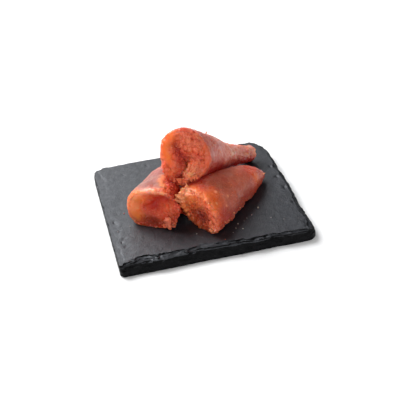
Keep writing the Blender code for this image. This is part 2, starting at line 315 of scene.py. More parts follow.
# ----------------------------------------------------------------------------
# Materials
# ----------------------------------------------------------------------------
class Nodes:
    """A short way to write a node tree."""

    def __init__(self, name):
        self.mat = bpy.data.materials.new(name)
        self.mat.use_nodes = True
        self.tree = self.mat.node_tree
        self.bsdf = self.tree.nodes["Principled BSDF"]
        self.coord = self.add("ShaderNodeTexCoord").outputs["Object"]

    def add(self, kind, **props):
        node = self.tree.nodes.new(kind)
        for k, v in props.items():
            setattr(node, k, v)
        return node

    def put(self, socket, value):
        if isinstance(value, bpy.types.NodeSocket):
            self.tree.links.new(value, socket)
        else:
            socket.default_value = value

    def noise(self, scale, detail=3.0, rough=0.55, warp=0.0, coord=None):
        n = self.add("ShaderNodeTexNoise")
        self.put(n.inputs["Vector"], coord or self.coord)
        n.inputs["Scale"].default_value = scale
        n.inputs["Detail"].default_value = detail
        n.inputs["Roughness"].default_value = rough
        n.inputs["Distortion"].default_value = warp
        return n.outputs["Fac"]

    def voronoi(self, scale, feature="F1", coord=None, out="Distance"):
        n = self.add("ShaderNodeTexVoronoi", feature=feature)
        self.put(n.inputs["Vector"], coord or self.coord)
        n.inputs["Scale"].default_value = scale
        return n.outputs[out]

    def scaled(self, x, y, z):
        n = self.add("ShaderNodeMapping")
        self.put(n.inputs["Vector"], self.coord)
        n.inputs["Scale"].default_value = (x, y, z)
        return n.outputs["Vector"]

    def fit(self, value, a, b, lo=0.0, hi=1.0):
        n = self.add("ShaderNodeMapRange", interpolation_type="SMOOTHSTEP")
        self.put(n.inputs["Value"], value)
        for key, v in zip(("From Min", "From Max", "To Min", "To Max"), (a, b, lo, hi)):
            n.inputs[key].default_value = v
        return n.outputs["Result"]

    def math(self, op, a, b=0.0, clamp=False):
        n = self.add("ShaderNodeMath", operation=op, use_clamp=clamp)
        self.put(n.inputs[0], a)
        self.put(n.inputs[1], b)
        return n.outputs[0]

    def mix(self, fac, a, b, blend="MIX"):
        n = self.add("ShaderNodeMix", data_type="RGBA", blend_type=blend)
        self.put(n.inputs["Factor"], fac)
        self.put(n.inputs[6], a)
        self.put(n.inputs[7], b)
        return n.outputs[2]

    def attr(self, name):
        n = self.add("ShaderNodeAttribute", attribute_name=name)
        s = self.add("ShaderNodeSeparateColor")
        self.put(s.inputs["Color"], n.outputs["Color"])
        return s.outputs["Red"], s.outputs["Green"], s.outputs["Blue"], n.outputs["Alpha"]

    def bump(self, height, strength, distance, below=None):
        n = self.add("ShaderNodeBump")
        self.put(n.inputs["Height"], height)
        n.inputs["Strength"].default_value = strength
        n.inputs["Distance"].default_value = distance
        if below is not None:
            self.put(n.inputs["Normal"], below)
        return n.outputs["Normal"]


def rgb(r, g, b):
    return (r, g, b, 1.0)


def roe_material(name, depth, soft, gloss):
    """depth: how far light runs in the roe, in metres; small pieces need less."""
    m = Nodes(name)
    bare, pale, hollow, thin = m.attr("zone")
    along, own, smooth, gap = m.attr("grain")
    yellow, shade, mauve, lump = m.attr("tone")
    veiled, wetness, frost, _f3 = m.attr("film")
    b = m.bsdf
    # Torn roe: orange red, with painted highlight, paler, on the high lumps and painted shade, deep red, in the gaps
    # between lumps and eggs and in the hollows.
    clump = m.noise(330, 4, 0.6)
    fine = m.noise(1500, 3, 0.6)
    roe = m.mix(m.fit(clump, 0.35, 0.66), rgb(0.62, 0.055, 0.018), rgb(0.76, 0.115, 0.042))
    roe = m.mix(m.math("MULTIPLY", m.fit(lump, 0.50, 0.95), 0.65), roe, rgb(0.90, 0.215, 0.115))
    roe = m.mix(m.math("MULTIPLY", m.fit(own, 0.6, 1.0), 0.20), roe, rgb(0.86, 0.20, 0.085))
    roe = m.mix(m.math("MULTIPLY", m.fit(lump, 0.50, 0.0), 0.85), roe, rgb(0.40, 0.014, 0.005))
    roe = m.mix(m.math("MULTIPLY", gap, 0.12), roe, rgb(0.50, 0.035, 0.012))
    # Painted shade: deep red in the hollows, creases, undersides and where the sacs touch, and dark brown where shade
    # falls on the torn roe.
    roe = m.mix(m.math("MULTIPLY", hollow, 0.92), roe, rgb(0.46, 0.008, 0.003))
    roe = m.mix(m.math("MULTIPLY", shade, 0.85), roe, rgb(0.22, 0.016, 0.006))
    # Skin: a thin mauve-pink membrane, redder where it is thin.
    veil = m.noise(240, 4, 0.6, 0.6)
    streak = m.noise(800, 3, 0.6)
    skin_red = m.mix(m.fit(veil, 0.38, 0.64), rgb(0.60, 0.055, 0.022), rgb(0.72, 0.095, 0.042))
    skin_pink = m.mix(m.fit(veil, 0.36, 0.66), rgb(0.52, 0.062, 0.036), rgb(0.64, 0.135, 0.092))
    skin = m.mix(mauve, skin_red, skin_pink)
    skin = m.mix(m.math("MULTIPLY", m.fit(streak, 0.52, 0.74), 0.45), skin, rgb(0.76, 0.25, 0.18))
    skin = m.mix(m.math("MULTIPLY", m.fit(own, 0.86, 1.0), 0.25), skin, rgb(0.80, 0.30, 0.19))
    skin = m.mix(m.math("MULTIPLY", shade, 0.7), skin, rgb(0.40, 0.022, 0.012))
    skin = m.mix(m.math("MULTIPLY", veiled, 0.95), skin, m.mix(m.fit(veil, 0.36, 0.66), rgb(0.225, 0.074, 0.052), rgb(0.270, 0.112, 0.088)))
    # Painted shade: crimson on the skin underneath and where the sacs touch.
    skin = m.mix(m.math("MULTIPLY", hollow, 0.85), skin, rgb(0.36, 0.008, 0.007))
    colour = m.mix(bare, skin, roe)
    # Orange where the membrane is thin, and painted glow where light shines through the cheeks and rims.
    colour = m.mix(m.math("MULTIPLY", thin, 0.9), colour, rgb(0.82, 0.150, 0.018))
    colour = m.mix(m.math("MULTIPLY", yellow, 0.75), colour, rgb(0.84, 0.215, 0.040))
    colour = m.mix(m.math("MULTIPLY", pale, 0.9), colour, rgb(0.91, 0.40, 0.205))
    # Painted sheen: whitish on the wet shoulder and the upper skin, and pale on the folds of the membrane.
    colour = m.mix(m.math("MULTIPLY", frost, m.fit(fine, 0.34, 0.60, 0.45, 0.95)), colour, rgb(0.87, 0.545, 0.475))
    m.put(b.inputs["Base Color"], colour)
    wet = m.math("ADD", m.fit(m.noise(420, 3, 0.6), 0.35, 0.65, 0.26, 0.44), m.math("MULTIPLY", veiled, 0.20))
    wet = m.math("SUBTRACT", wet, m.math("MULTIPLY", wetness, 0.22))
    dull = m.fit(fine, 0.3, 0.7, 0.26, 0.44)
    part = m.add("ShaderNodeMix", data_type="FLOAT")
    m.put(part.inputs[0], bare)
    m.put(part.inputs[2], wet)
    m.put(part.inputs[3], dull)
    m.put(b.inputs["Roughness"], part.outputs[0])
    b.inputs["Subsurface Weight"].default_value = soft
    b.inputs["Subsurface Radius"].default_value = (1.0, 0.25, 0.10)
    b.inputs["Subsurface Scale"].default_value = depth
    b.inputs["Specular IOR Level"].default_value = gloss
    b.inputs["IOR"].default_value = 1.38
    b.inputs["Coat Weight"].default_value = 0.50 * gloss
    b.inputs["Coat Roughness"].default_value = 0.12
    grainy = m.bump(m.voronoi(1250), 0.25, 0.0002)
    m.put(b.inputs["Normal"], m.bump(m.noise(2600, 3), 0.25, 0.00015, grainy))
    return m.mat


def egg_material(name, pale):
    m = Nodes(name)
    shade, other, _x, _y = m.attr("egg")
    b = m.bsdf
    col = m.mix(shade, rgb(0.55, 0.040, 0.016), rgb(0.86, 0.215, 0.095))
    col = m.mix(m.math("MULTIPLY", m.fit(other, 0.8, 1.0), 0.3), col, rgb(0.90, 0.36, 0.20))
    # Painted glint: most loose eggs are grey-white, standing in for the light they catch.
    if pale:
        col = m.mix(m.fit(other, 0.0, 0.25), col, rgb(0.30, 0.275, 0.26))
    col = m.mix(m.math("MULTIPLY", m.fit(m.noise(2600, 2), 0.45, 0.7), 0.2), col, rgb(0.85, 0.30, 0.15))
    m.put(b.inputs["Base Color"], col)
    m.put(b.inputs["Roughness"], m.fit(m.noise(1800, 2), 0.3, 0.7, 0.38, 0.52))
    b.inputs["Subsurface Weight"].default_value = 0.35
    b.inputs["Subsurface Radius"].default_value = (1.0, 0.35, 0.15)
    b.inputs["Subsurface Scale"].default_value = 0.00012
    b.inputs["IOR"].default_value = 1.38
    b.inputs["Specular IOR Level"].default_value = 0.25
    b.inputs["Coat Weight"].default_value = 0.06
    b.inputs["Coat Roughness"].default_value = 0.2
    m.put(b.inputs["Normal"], m.bump(m.noise(3200, 2), 0.2, 0.0001))
    return m.mat


def slate_material():
    m = Nodes("split_slate")
    edge, deep, _b, _a = m.attr("stone")
    b = m.bsdf
    cloud = m.noise(38, 5, 0.6, 0.4)
    mottle = m.noise(300, 4, 0.65)
    tooth = m.noise(1300, 4, 0.7)
    col = m.mix(m.fit(cloud, 0.35, 0.65), rgb(0.0020, 0.0020, 0.0034), rgb(0.0036, 0.0036, 0.0060))
    col = m.mix(m.math("MULTIPLY", m.fit(mottle, 0.45, 0.7), 0.5), col, rgb(0.0075, 0.0075, 0.0115))
    col = m.mix(m.math("MULTIPLY", m.fit(tooth, 0.42, 0.24), 0.65), col, rgb(0.0018, 0.0018, 0.0026))
    speck = m.voronoi(420)
    col = m.mix(m.math("MULTIPLY", m.fit(speck, 0.13, 0.06), m.fit(m.noise(210, 2), 0.56, 0.66)), col, rgb(0.10, 0.10, 0.097))
    # Painted shade: darker in the deep pits.
    col = m.mix(m.math("MULTIPLY", deep, 0.8), col, rgb(0.003, 0.003, 0.004))
    m.put(b.inputs["Base Color"], col)
    m.put(b.inputs["Roughness"], m.fit(mottle, 0.3, 0.7, 0.44, 0.58))
    b.inputs["Specular IOR Level"].default_value = 0.72
    b.inputs["Specular Tint"].default_value = rgb(0.90, 0.935, 1.0)
    mid = m.bump(mottle, 0.45, 0.0005)
    m.put(b.inputs["Normal"], m.bump(tooth, 0.6, 0.00026, mid))
    return m.mat


def rock_material():
    m = Nodes("knapped_slate")
    b = m.bsdf
    streaks = m.noise(1.0, 5, 0.65, 0.3, m.scaled(220, 420, 2400))
    grain = m.noise(900, 4, 0.7)
    rock = m.mix(m.fit(m.noise(330, 4, 0.7), 0.42, 0.75), rgb(0.0012, 0.0012, 0.0016), rgb(0.0050, 0.0051, 0.0062))
    rock = m.mix(m.math("MULTIPLY", m.fit(streaks, 0.55, 0.75), 0.5), rock, rgb(0.010, 0.010, 0.012))
    m.put(b.inputs["Base Color"], rock)
    m.put(b.inputs["Roughness"], m.fit(m.noise(260, 3, 0.6), 0.35, 0.65, 0.38, 0.70))
    b.inputs["Specular IOR Level"].default_value = 0.12
    low = m.bump(streaks, 0.55, 0.0006)
    m.put(b.inputs["Normal"], m.bump(grain, 0.5, 0.0003, low))
    return m.mat


def floor_material():
    m = Nodes("pale_floor")
    b = m.bsdf
    col = m.mix(m.fit(m.noise(9, 3), 0.3, 0.7), rgb(0.86, 0.86, 0.86), rgb(0.89, 0.89, 0.89))
    m.put(b.inputs["Base Color"], col)
    b.inputs["Roughness"].default_value = 0.9
    b.inputs["Specular IOR Level"].default_value = 0.1
    return m.mat


# ----------------------------------------------------------------------------
# The roe sacs
# ----------------------------------------------------------------------------
def middle_line(sac, u):
    p0, pm, p1 = sac["points"]
    u = np.asarray(u, float)[..., None]
    c = np.clip(u, 0, 1)
    point = 2 * (c - .5) * (c - 1) * p0 - 4 * c * (c - 1) * pm + 2 * c * (c - .5) * p1
    point = point + np.where(u < 0, (u - c) * (4 * pm - 3 * p0 - p1), 0)
    way = (4 * c - 3) * p0 + (4 - 8 * c) * pm + (4 * c - 1) * p1
    return point, way / np.linalg.norm(way, axis=-1, keepdims=True)


def skin(sac, u, theta, shrink=0.0):
    point, way = middle_line(sac, u)
    a = ease(STATIONS, sac["half_width"], u) - shrink
    b = ease(STATIONS, sac["half_height"], u) - shrink
    side = np.cross(way, np.array([0, 0, 1.0]))
    side /= np.linalg.norm(side, axis=-1, keepdims=True)
    up = np.cross(side, way)
    c, s = np.cos(theta), np.sin(theta)
    across = np.sign(c) * np.abs(c) ** ROUND_POWER
    tall = np.sign(s) * np.abs(s) ** ROUND_POWER
    across = across * (1 - sac["pinch"] * np.clip(-tall, 0, 1) ** 1.3)
    ph = sac["phase"]
    lump = 1 + sac["lump"] * (np.sin(7.5 * u + 2 * theta + ph) + 0.7 * np.sin(13 * u - 3 * theta + 2.1 * ph)
                              + 0.5 * np.sin(21 * u + 4 * theta + 3.7 * ph))
    if sac["fold"]:
        where, deep = sac["fold"]
        lump = lump - deep / 10 * np.exp(-((u - where) / 0.03) ** 2) * np.clip(np.cos(theta - 1.0), 0, 1)
    x = a * (across + sac["skew"] * tall) * lump
    y = b * tall * lump
    return point + x[..., None] * side + y[..., None] * up


def face_shape(name, px, py):
    """The torn face at its own coordinates (px right, py up, -1 to 1): how far
    it stands proud in mm, and its painted zones."""
    z = {k: np.zeros(len(px)) for k in ("hollow", "thin", "smooth", "yellow", "pale", "shade")}
    at = np.column_stack([px, py, np.full(len(px), 0.3)]) * 10
    px, py = px + 0.055 * fbm(at, 3.6, 71, 2), py + 0.055 * fbm(at + 40, 3.6, 75, 2)
    if name == "mentaiko_top":
        # A smooth cheek on the left slopes into a deep hollow, and the edge of
        # a granular lobe stands over it.
        edge = side_of(px, py, [(0.46, -0.04), (0.20, -0.18), (0.00, -0.44), (-0.14, -0.74), (-0.30, -1.10)])
        reach = ramp(px, 0.62, 0.20) * ramp(py, 0.35, -0.05)
        valley = to_line(px, py, [(-0.34, 0.50), (-0.26, 0.20), (-0.10, 0.02), (0.08, -0.17)])
        cheek = to_line(px, py, [(-0.50, 0.84), (-0.66, 0.62), (-0.76, 0.34), (-0.74, 0.10), (-0.62, -0.23), (-0.55, -0.52)])
        dip = np.where(edge < 0, bell(edge, 0.30), bell(edge, 0.07)) * reach
        pit = bell(np.hypot(px - 0.85, (py + 0.11) * 2.0), 0.085)
        well = bell(np.hypot(px - 0.02, (py + 0.20) * 0.8), 0.17)
        slit = bell(np.hypot((px - 0.34) * 2.2, py + 0.76), 0.11)
        slit2 = bell(np.hypot((px - 0.08) * 2.0, py + 0.98), 0.12)
        proud = (1.1 * ramp(edge, -0.03, 0.12) * reach - 2.6 * dip - 1.2 * bell(valley, 0.12) + 0.8 * bell(cheek, 0.30)
                 + 0.5 * bell(np.hypot(px - 0.30, py + 0.45), 0.30) - 1.7 * pit - 1.1 * slit - 1.2 * slit2 - 1.3 * well)
        # Painted shade: deep red and darker in the dip under the lobe edge, the valley, the well, the pit and the
        # slits; painted glow and yellow light on the cheek; painted highlight, pale and yellow, on the lower lobe.
        z["hollow"] = np.clip(1.1 * np.where(edge < 0, bell(edge, 0.27), bell(edge, 0.05)) * reach
                              + 1.05 * bell(valley, 0.19) + 1.0 * well + 0.9 * pit + 0.7 * slit + 0.8 * slit2, 0, 1)
        z["thin"] = np.clip(1.15 * bell(cheek, 0.22) * (0.35 + 0.65 * ramp(py, -0.45, 0.10)) + 0.30 * ramp(px, 0.72, 0.95), 0, 1)
        z["smooth"] = np.clip(1.0 * bell(cheek, 0.22) * ramp(py, -0.55, 0.05) + 0.5 * ramp(edge, 0.0, -0.12) * reach * ramp(py, -0.6, -0.35), 0, 1)
        z["shade"] = np.maximum(0.35 * ramp(py, -0.55, -0.95) * ramp(px, 0.1, -0.2), 0.38 * bell(valley, 0.15) + 0.30 * well)
        z["yellow"] = np.maximum(0.25 * bell(np.hypot(px - 0.35, py + 0.4), 0.3), 0.30 * bell(cheek, 0.16) * ramp(py, -0.3, 0.2))
        z["pale"] = 0.72 * bell(np.hypot(px - 0.28, py + 0.58), 0.36) + 0.15 * bell(np.hypot(px - 0.2, py - 0.5), 0.4)
    elif name == "mentaiko_left":
        bowl = to_line(px, py, [(-0.06, 0.20), (0.12, 0.50), (0.42, 0.68)])
        cheek = to_line(px, py, [(-0.64, 0.62), (-0.80, 0.36), (-0.84, 0.06), (-0.72, -0.38)])
        belly = bell(np.hypot(px - 0.08, (py + 0.42)), 0.36)
        right = bell(np.hypot(px - 0.80, (py - 0.15) * 0.6), 0.26)
        drip = bell(np.hypot(px - 0.58, (py + 0.98) * 0.8), 0.17)
        dot = bell(np.hypot(px + 0.63, py + 0.12), 0.07)
        low = bell(np.hypot(px + 0.08, (py + 0.62) * 1.2), 0.50)
        proud = -3.0 * bell(bowl, 0.30) + 0.5 * bell(cheek, 0.22) + 0.7 * right + 1.3 * drip + 0.35 * dot - 0.4 * low + 0.7 * belly
        # Painted shade: deep red in the bowl under the overhanging rim and at the right edge beside the right sac,
        # darker low on the face and on its right side; painted glow and yellow light on the cheek.
        z["hollow"] = np.clip(0.85 * bell(bowl, 0.27) + 0.25 * bell(np.hypot(px + 0.1, py), 0.3), 0, 1)
        z["thin"] = np.clip(1.25 * bell(cheek, 0.29) + 0.20 * right + 0.5 * dot, 0, 1)
        z["yellow"] = 0.50 * bell(cheek, 0.28)
        z["smooth"] = np.clip(1.1 * bell(cheek, 0.24) + 0.45 * bell(bowl, 0.30) + 0.3 * right, 0, 1)
        z["shade"] = np.clip(0.75 * low + 0.35 * ramp(py, -0.1, -0.7) + 0.60 * ramp(px, 0.38, 0.78) * ramp(py, 0.30, -0.25), 0, 1)
        z["hollow"] = np.maximum(z["hollow"], 0.80 * ramp(px, 0.64, 0.90) * ramp(py, -0.62, -0.25) * ramp(py, 0.75, 0.45))
        # Painted highlight: pale along the top rim, with less deep red there.
        lip = ramp(np.hypot(px, py), 0.80, 0.94) * ramp(py, 0.30, 0.60) * ramp(px, 0.66, 0.40)
        z["hollow"] *= 1 - 0.9 * lip
        z["pale"] = 0.50 * lip
    else:
        groove = np.cos(17.0 * px + 2.0 * py + 1.0 + 1.5 * np.sin(4 * py)) * ramp(-py, -0.35, 0.3)
        brow = bell(np.hypot(px + 0.42, py - 0.72), 0.36)
        scoop = bell(np.hypot(px - 0.24, (py + 0.24) * 0.8), 0.46)
        lip = ramp(px + 0.16 * ramp(py, -0.1, -0.5), 0.66, 0.90) * ramp(py, 0.60, 0.1)
        notch = bell(np.hypot(px - 0.93, (py - 0.19) * 1.6), 0.075)
        slit = bell(np.hypot(px - 0.67, py - 0.64), 0.07)
        proud = 0.32 * groove + 1.2 * brow - 2.3 * scoop + 0.8 * lip - 1.9 * notch - 1.1 * slit
        # Painted shade: deep red in the scoop, notch, slit, grooves and low at the left edge, and darker in the scoop
        # and a spot right of it; painted glow at the upper left.
        z["hollow"] = np.clip(0.40 * scoop + 0.9 * notch + 0.7 * slit + 0.25 * np.clip(-groove, 0, 1), 0, 1)
        z["shade"] = np.clip(0.92 * scoop + 0.15 * bell(np.hypot(px, py + 0.1), 0.5) + 0.35 * np.clip(-groove, 0, 1), 0, 1)
        z["thin"] = 0.6 * bell(np.hypot(px + 0.30, py - 0.60), 0.36)
        z["smooth"] = np.clip(0.55 * brow + 0.40 * scoop + 0.15, 0, 1)
        foot = ramp(px + 0.25 * py, -0.50, -0.85) * ramp(py, 0.38, 0.10)
        z["shade"] = np.maximum(z["shade"], 0.34 * bell(np.hypot(px - 0.62, (py + 0.05) * 0.6), 0.20))
        z["hollow"] = np.maximum(z["hollow"], 0.75 * foot)
        z["yellow"] = np.clip(np.maximum(bell(np.hypot(px + 0.28, py - 0.66), 0.36),
                                         0.45 * (1 - 1.1 * scoop) * (1 - 0.8 * ramp(px, 0.35, 0.60))), 0, 1)
        z["yellow"] *= 1 - 0.8 * foot
        z["pale"] = np.clip(0.95 * (1 - 0.8 * foot) * bell(to_line(px, py, [(-0.88, 0.25), (-0.68, 0.72), (-0.45, 0.92)]), 0.24) + 0.08 * lip, 0, 1)
    return proud, z


def build_sac(name):
    sac = dict(SACS[name])
    floor = BOARD_THICK + FLOOR_GAP
    heights = sac["lift"]
    if heights is None:
        heights = BOARD_THICK + 0.86 * ease(STATIONS, sac["half_height"], np.array([0, .5, 1]))
    sac["points"] = [np.array([x, y, z]) for (x, y), z in zip(sac["line"], heights)]
    turn, lean = math.radians(sac["face_turn"]), math.radians(sac["face_lean"])
    normal = np.array([math.sin(turn) * math.cos(lean), -math.cos(turn) * math.cos(lean), math.sin(lean)])
    n = AROUND
    theta = np.linspace(0, TAU, n, endpoint=False)
    probe = np.linspace(-0.45, 0.7, 461)
    grid = skin(sac, probe[:, None] * np.ones(n), np.ones((len(probe), 1)) * theta)
    depth = (grid - sac["points"][0]) @ normal
    ragged = sac["rim_tear"] * (0.35 + np.clip(np.cos(theta - math.radians(sac["tear_turn"])), 0, 1)) \
        * ripple(theta, 5 + int(10 * sac["phase"]), (3, 5, 8, 11), 0.2)
    fine_tear = 0.35 * ripple(theta, 77 + int(10 * sac["phase"]), (17, 23, 31, 43, 57), 0.4) * {"mentaiko_left": 0.25, "mentaiko_top": 0.6, "mentaiko_right": 1.0}[name]
    depth = depth - ragged - fine_tear
    first = np.clip(np.argmax(depth < 0, axis=0), 1, len(probe) - 1)
    cols = np.arange(n)
    d0, d1 = depth[first - 1, cols], depth[first, cols]
    start = probe[first - 1] + (probe[first] - probe[first - 1]) * np.clip(d0 / (d0 - d1), 0, 1)

    length = np.linalg.norm(sac["points"][2] - sac["points"][0])
    rr = sac["rim_round"]
    reach = np.linspace(0, 1, ALONG + 1) ** 1.25
    body = []
    for w in reach:
        u = start + (1 - start) * w
        t = np.clip(1 - (u - start) * length / rr, 0, 1)
        body.append(skin(sac, u, theta, shrink=rr * 0.8 * (1 - np.sqrt(1 - t * t))))
    tip, way = middle_line(sac, np.array(1.0))
    last = body[-1] - tip
    for k in range(1, NOSE_RINGS + 1):
        f = math.sin(k / (NOSE_RINGS + 1) * math.pi / 2)
        body.append(tip + way * sac["nose"] * f + last * (1 - f ** sac["nose_power"]) ** (1 / max(sac["nose_power"], 1.5)))
    pole = tip + way * sac["nose"]
    body = np.array(body)
    body[..., 2] = np.maximum(body[..., 2], floor)

    rim = body[0]
    centre = rim.mean(axis=0)
    right = np.cross(np.array([0, 0, 1.0]), normal)
    right /= np.linalg.norm(right)
    upward = np.cross(normal, right)
    half_w = np.abs((rim - centre) @ right).max()
    half_h = np.abs((rim - centre) @ upward).max()
    fr = np.linspace(0, 1, FACE_RINGS + 2)[1:-1][::-1]          # rim to middle
    keys = ("hollow", "thin", "smooth", "yellow", "pale", "shade")
    face_rows, zones = [], []
    rim_rel = rim - centre
    rim_out = rim_rel @ normal
    rim_flat = rim_rel - rim_out[:, None] * normal
    for f in fr:
        p = centre + rim_flat * f + normal * (rim_out * f ** 7)[:, None]
        rel = rim_flat * f
        px, py = rel @ right / half_w, rel @ upward / half_h
        proud, z = face_shape(name, px, py)
        wide = np.full(n, 0.14 if name != "mentaiko_left" else 0.20)
        if name == "mentaiko_left":
            wide = 0.20 - 0.07 * ramp(py, 0.25, 0.6)           # the skin overhangs the hollow
        fade = np.clip((1 - f) / wide, 0, 1) ** 0.7
        lift = sac["dome"] * (1 - f ** sac["dome_power"]) + fade * proud
        face_rows.append(p + lift[:, None] * normal)
        zones.append(np.stack([z[k] for k in keys], axis=1))
    proud, z0 = face_shape(name, np.zeros(1), np.zeros(1))
    hub = centre + normal * (sac["dome"] + proud[0])
    rows = np.concatenate([np.array(face_rows)[::-1], body])
    m = len(rows)
    verts = np.concatenate([rows.reshape(-1, 3), hub[None], pole[None]])
    quads, tris = grid_faces(m, n, m * n, m * n + 1)
    quads, tris = faces_out(verts, quads, tris)
    nface = len(face_rows)
    if name == "mentaiko_top":
        # The lower left of the torn end sags towards the sac below.
        rel = verts - centre
        deep = rel @ normal
        flat_rel = rel - deep[:, None] * normal
        far = np.linalg.norm(flat_rel, axis=1)
        turn_at = np.degrees(np.arctan2(flat_rel @ upward, flat_rel @ right))
        near = bell(np.minimum(deep, 0), 5.0) * ramp(far / half_h, 0.25, 0.95)
        sag = 0.6 * bell((turn_at + 122 + 180) % 360 - 180, 20) + 0.7 * bell((turn_at - 138 + 180) % 360 - 180, 22)
        verts = verts + (sag * near / np.maximum(far, 1e-6))[:, None] * flat_rel

    if name == "mentaiko_top":
        tail_end = np.concatenate([np.zeros(nface), reach, np.ones(m - nface - len(reach))])
        verts[: m * n, 2] -= 0.7 * np.repeat(ramp(tail_end, 0.6, 1.0), n)
        verts[m * n + 1, 2] -= 0.7

    # Zones for the whole table.
    zone = np.zeros((m, n, len(keys)))
    zone[:nface] = np.array(zones)[::-1]
    rel = rim - centre
    _p, z1 = face_shape(name, rel @ right / half_w, rel @ upward / half_h)
    along = np.zeros((m, n))
    dist = np.zeros((m, n))
    fade_in = {"hollow": (0.1, 0.6), "thin": (1.5, 8.0), "smooth": (0.5, 3.0), "yellow": (1.0, 5.0),
               "pale": (0.6, 1.8), "shade": (0.2, 1.5)}
    for k, w in enumerate(reach):
        u = start + (1 - start) * w
        d = (u - start) * length
        along[nface + k] = w
        dist[nface + k] = d
        for c, key in enumerate(keys):
            zone[nface + k, :, c] = z1[key] * (1 - ramp(d, *fade_in[key]))
    along[nface + len(reach):] = 1.0
    dist[nface + len(reach):] = length
    flat = np.concatenate([zone.reshape(-1, len(keys)), [[z0[k][0] for k in keys]], np.zeros((1, len(keys)))])
    along = np.concatenate([along.ravel(), [0, 1]])
    dist = np.concatenate([dist.ravel(), [0, length]])
    z = {k: flat[:, c].copy() for c, k in enumerate(keys)}
    angle = np.concatenate([np.tile(theta, m), [0, 0]])
    on_face = np.arange(len(verts)) < nface * n
    on_face[m * n] = True
    seed = 40 + int(sac["phase"] * 10)

    # Where the roe is bare: the torn face, running on a little under the skin,
    # and on one sac the flank that lost its skin.
    edge_wave = 1.3 * fbm(verts, 3.4, seed + 50, 3)
    turn_deg = (np.degrees(angle) + 180) % 360 - 180
    bare = np.where(on_face, 1.0, 1 - ramp(dist + edge_wave, *((-1.2, 1.6) if name == "mentaiko_left" else (0.2, 4.2))))
    row_f = np.concatenate([np.repeat(np.concatenate([fr[::-1], np.ones(m - nface)]), n), [0, 1]])
    wraps = {"mentaiko_top": ramp(np.abs((np.degrees(angle) - 140 + 180) % 360 - 180), 80, 55),
             "mentaiko_left": ramp(np.abs((np.degrees(angle) - 165 + 180) % 360 - 180), 75, 50),
             "mentaiko_right": np.zeros(len(verts))}[name]
    curl = wraps * ramp(row_f + 0.02 * edge_wave, 0.955, 0.995)    # the skin wraps over the rim here
    bare = bare * (1 - 0.85 * curl)
    film_on = np.zeros(len(verts))
    if name == "mentaiko_top":
        right_side = ramp(turn_deg, -75, -35) * ramp(turn_deg, 95, 55)
        film_on = right_side * ramp(row_f + 0.13 * edge_wave, 0.62, 1.02)
        bare = np.where(on_face, bare * (1 - 0.55 * film_on), bare)
        bare = np.where(~on_face, np.minimum(bare, 1 - 0.55 * right_side), bare)
    if name == "mentaiko_left":
        flank = ramp(turn_deg + 5 * edge_wave, 84, 66) * ramp(turn_deg, -40, -10) * ramp(dist + 2 * edge_wave, 26, 17)
        bare = np.maximum(bare, np.where(on_face, 0, flank))
        torn_line = bell(turn_deg + 5 * edge_wave - 80, 9) * ramp(dist, 22, 15) * ramp(dist, 4, 8)
        z["yellow"] = np.maximum(z["yellow"], 0.9 * torn_line * ~on_face)
        z["pale"] = np.maximum(z["pale"], 0.35 * torn_line * ~on_face)
        # Painted shade: the bare flank is darker and deep red where it lies under the top sac and against the right
        # one.
        z["shade"] = np.maximum(z["shade"], 0.35 * flank * ~on_face * ramp(turn_deg, 70, 40))
        z["hollow"] = np.maximum(z["hollow"], (0.74 + 0.20 * ramp(dist, 9, 3)) * flank * ~on_face * ramp(turn_deg + 8 * edge_wave, 76, 52))
    mauve = np.where(on_face, np.maximum(0.4 * curl, 0.6 * film_on), ramp(dist + edge_wave, 1.5, 7.0))
    if name == "mentaiko_right":
        band = bell(dist - np.where(turn_deg > 20, 1.2, 0.2) + 0.4 * edge_wave, 1.9) * ramp(turn_deg, -75, -50) * ramp(turn_deg, 125, 95)
        z["pale"] = np.maximum(z["pale"], (0.12 + 0.20 * ramp(turn_deg, 0, 40)) * band * ~on_face)
        z["thin"] = np.maximum(z["thin"], 0.75 * np.where(on_face, 0, ramp(dist + 2 * edge_wave, 13, 4) * ramp(turn_deg, 80, 50) * ramp(turn_deg, 0, 25)))
        # Painted glow: orange at the tail where light shines through.
        z["thin"] = np.maximum(z["thin"], spot(verts, (32.0, -4.9, 15.0, 3.7, 1.0)))
        z["pale"] = np.maximum(z["pale"], spot(verts, (37.0, 1.2, 12.2, 1.7, 0.45)))
        beads = [(4.5, -26.1, 23.7, 0.8, 1.0), (10.9, -25.8, 20.0, 0.75, 0.8), (8.7, -30.4, 17.2, 0.7, 0.7),
                 (3.1, -33.1, 21.3, 0.7, 0.8), (17.5, -21.0, 18.2, 0.6, 0.6), (14.0, -17.0, 22.4, 0.6, 0.5)]
        # Painted shade in soft spots on the top and the low flank.
        z["shade"] = np.maximum(z["shade"], spot(verts, (9.9, -14.5, 24.4, 7.0, 0.55), (9.4, -32.0, 13.5, 6.0, 0.6),
                                                 (20.0, -22.0, 11.5, 7.0, 0.5)))
    elif name == "mentaiko_top":
        beads = [(13.5, -2.3, 32.6, 0.6, 0.5), (9.5, -5.0, 39.0, 0.6, 0.5)]
        z["pale"] = np.maximum(z["pale"], spot(verts, (22.4, 9.0, 24.0, 1.5, 0.55), (22.9, 10.6, 25.4, 1.5, 0.5),
                                               (38.6, 25.6, 15.0, 2.2, 0.6), (39.5, 27.0, 12.5, 2.0, 0.5)))
        z["shade"] = np.maximum(z["shade"], spot(verts, (27.9, 14.3, 16.5, 5.0, 0.8), (33.0, 19.0, 13.0, 5.0, 0.7),
                                                 (12.0, -5.0, 27.0, 6.0, 0.35)))
        mauve = np.maximum(mauve, np.where(on_face, 0, (0.6 + 0.4 * ramp(dist + 0.6 * edge_wave, 0.0, 3.5)) * right_side))
        # Painted light: paler on the upper side of the tail.
        z["pale"] = np.maximum(z["pale"], 0.22 * ramp(along, 0.5, 0.75) * ramp(turn_deg, -20, 30) * ~on_face)
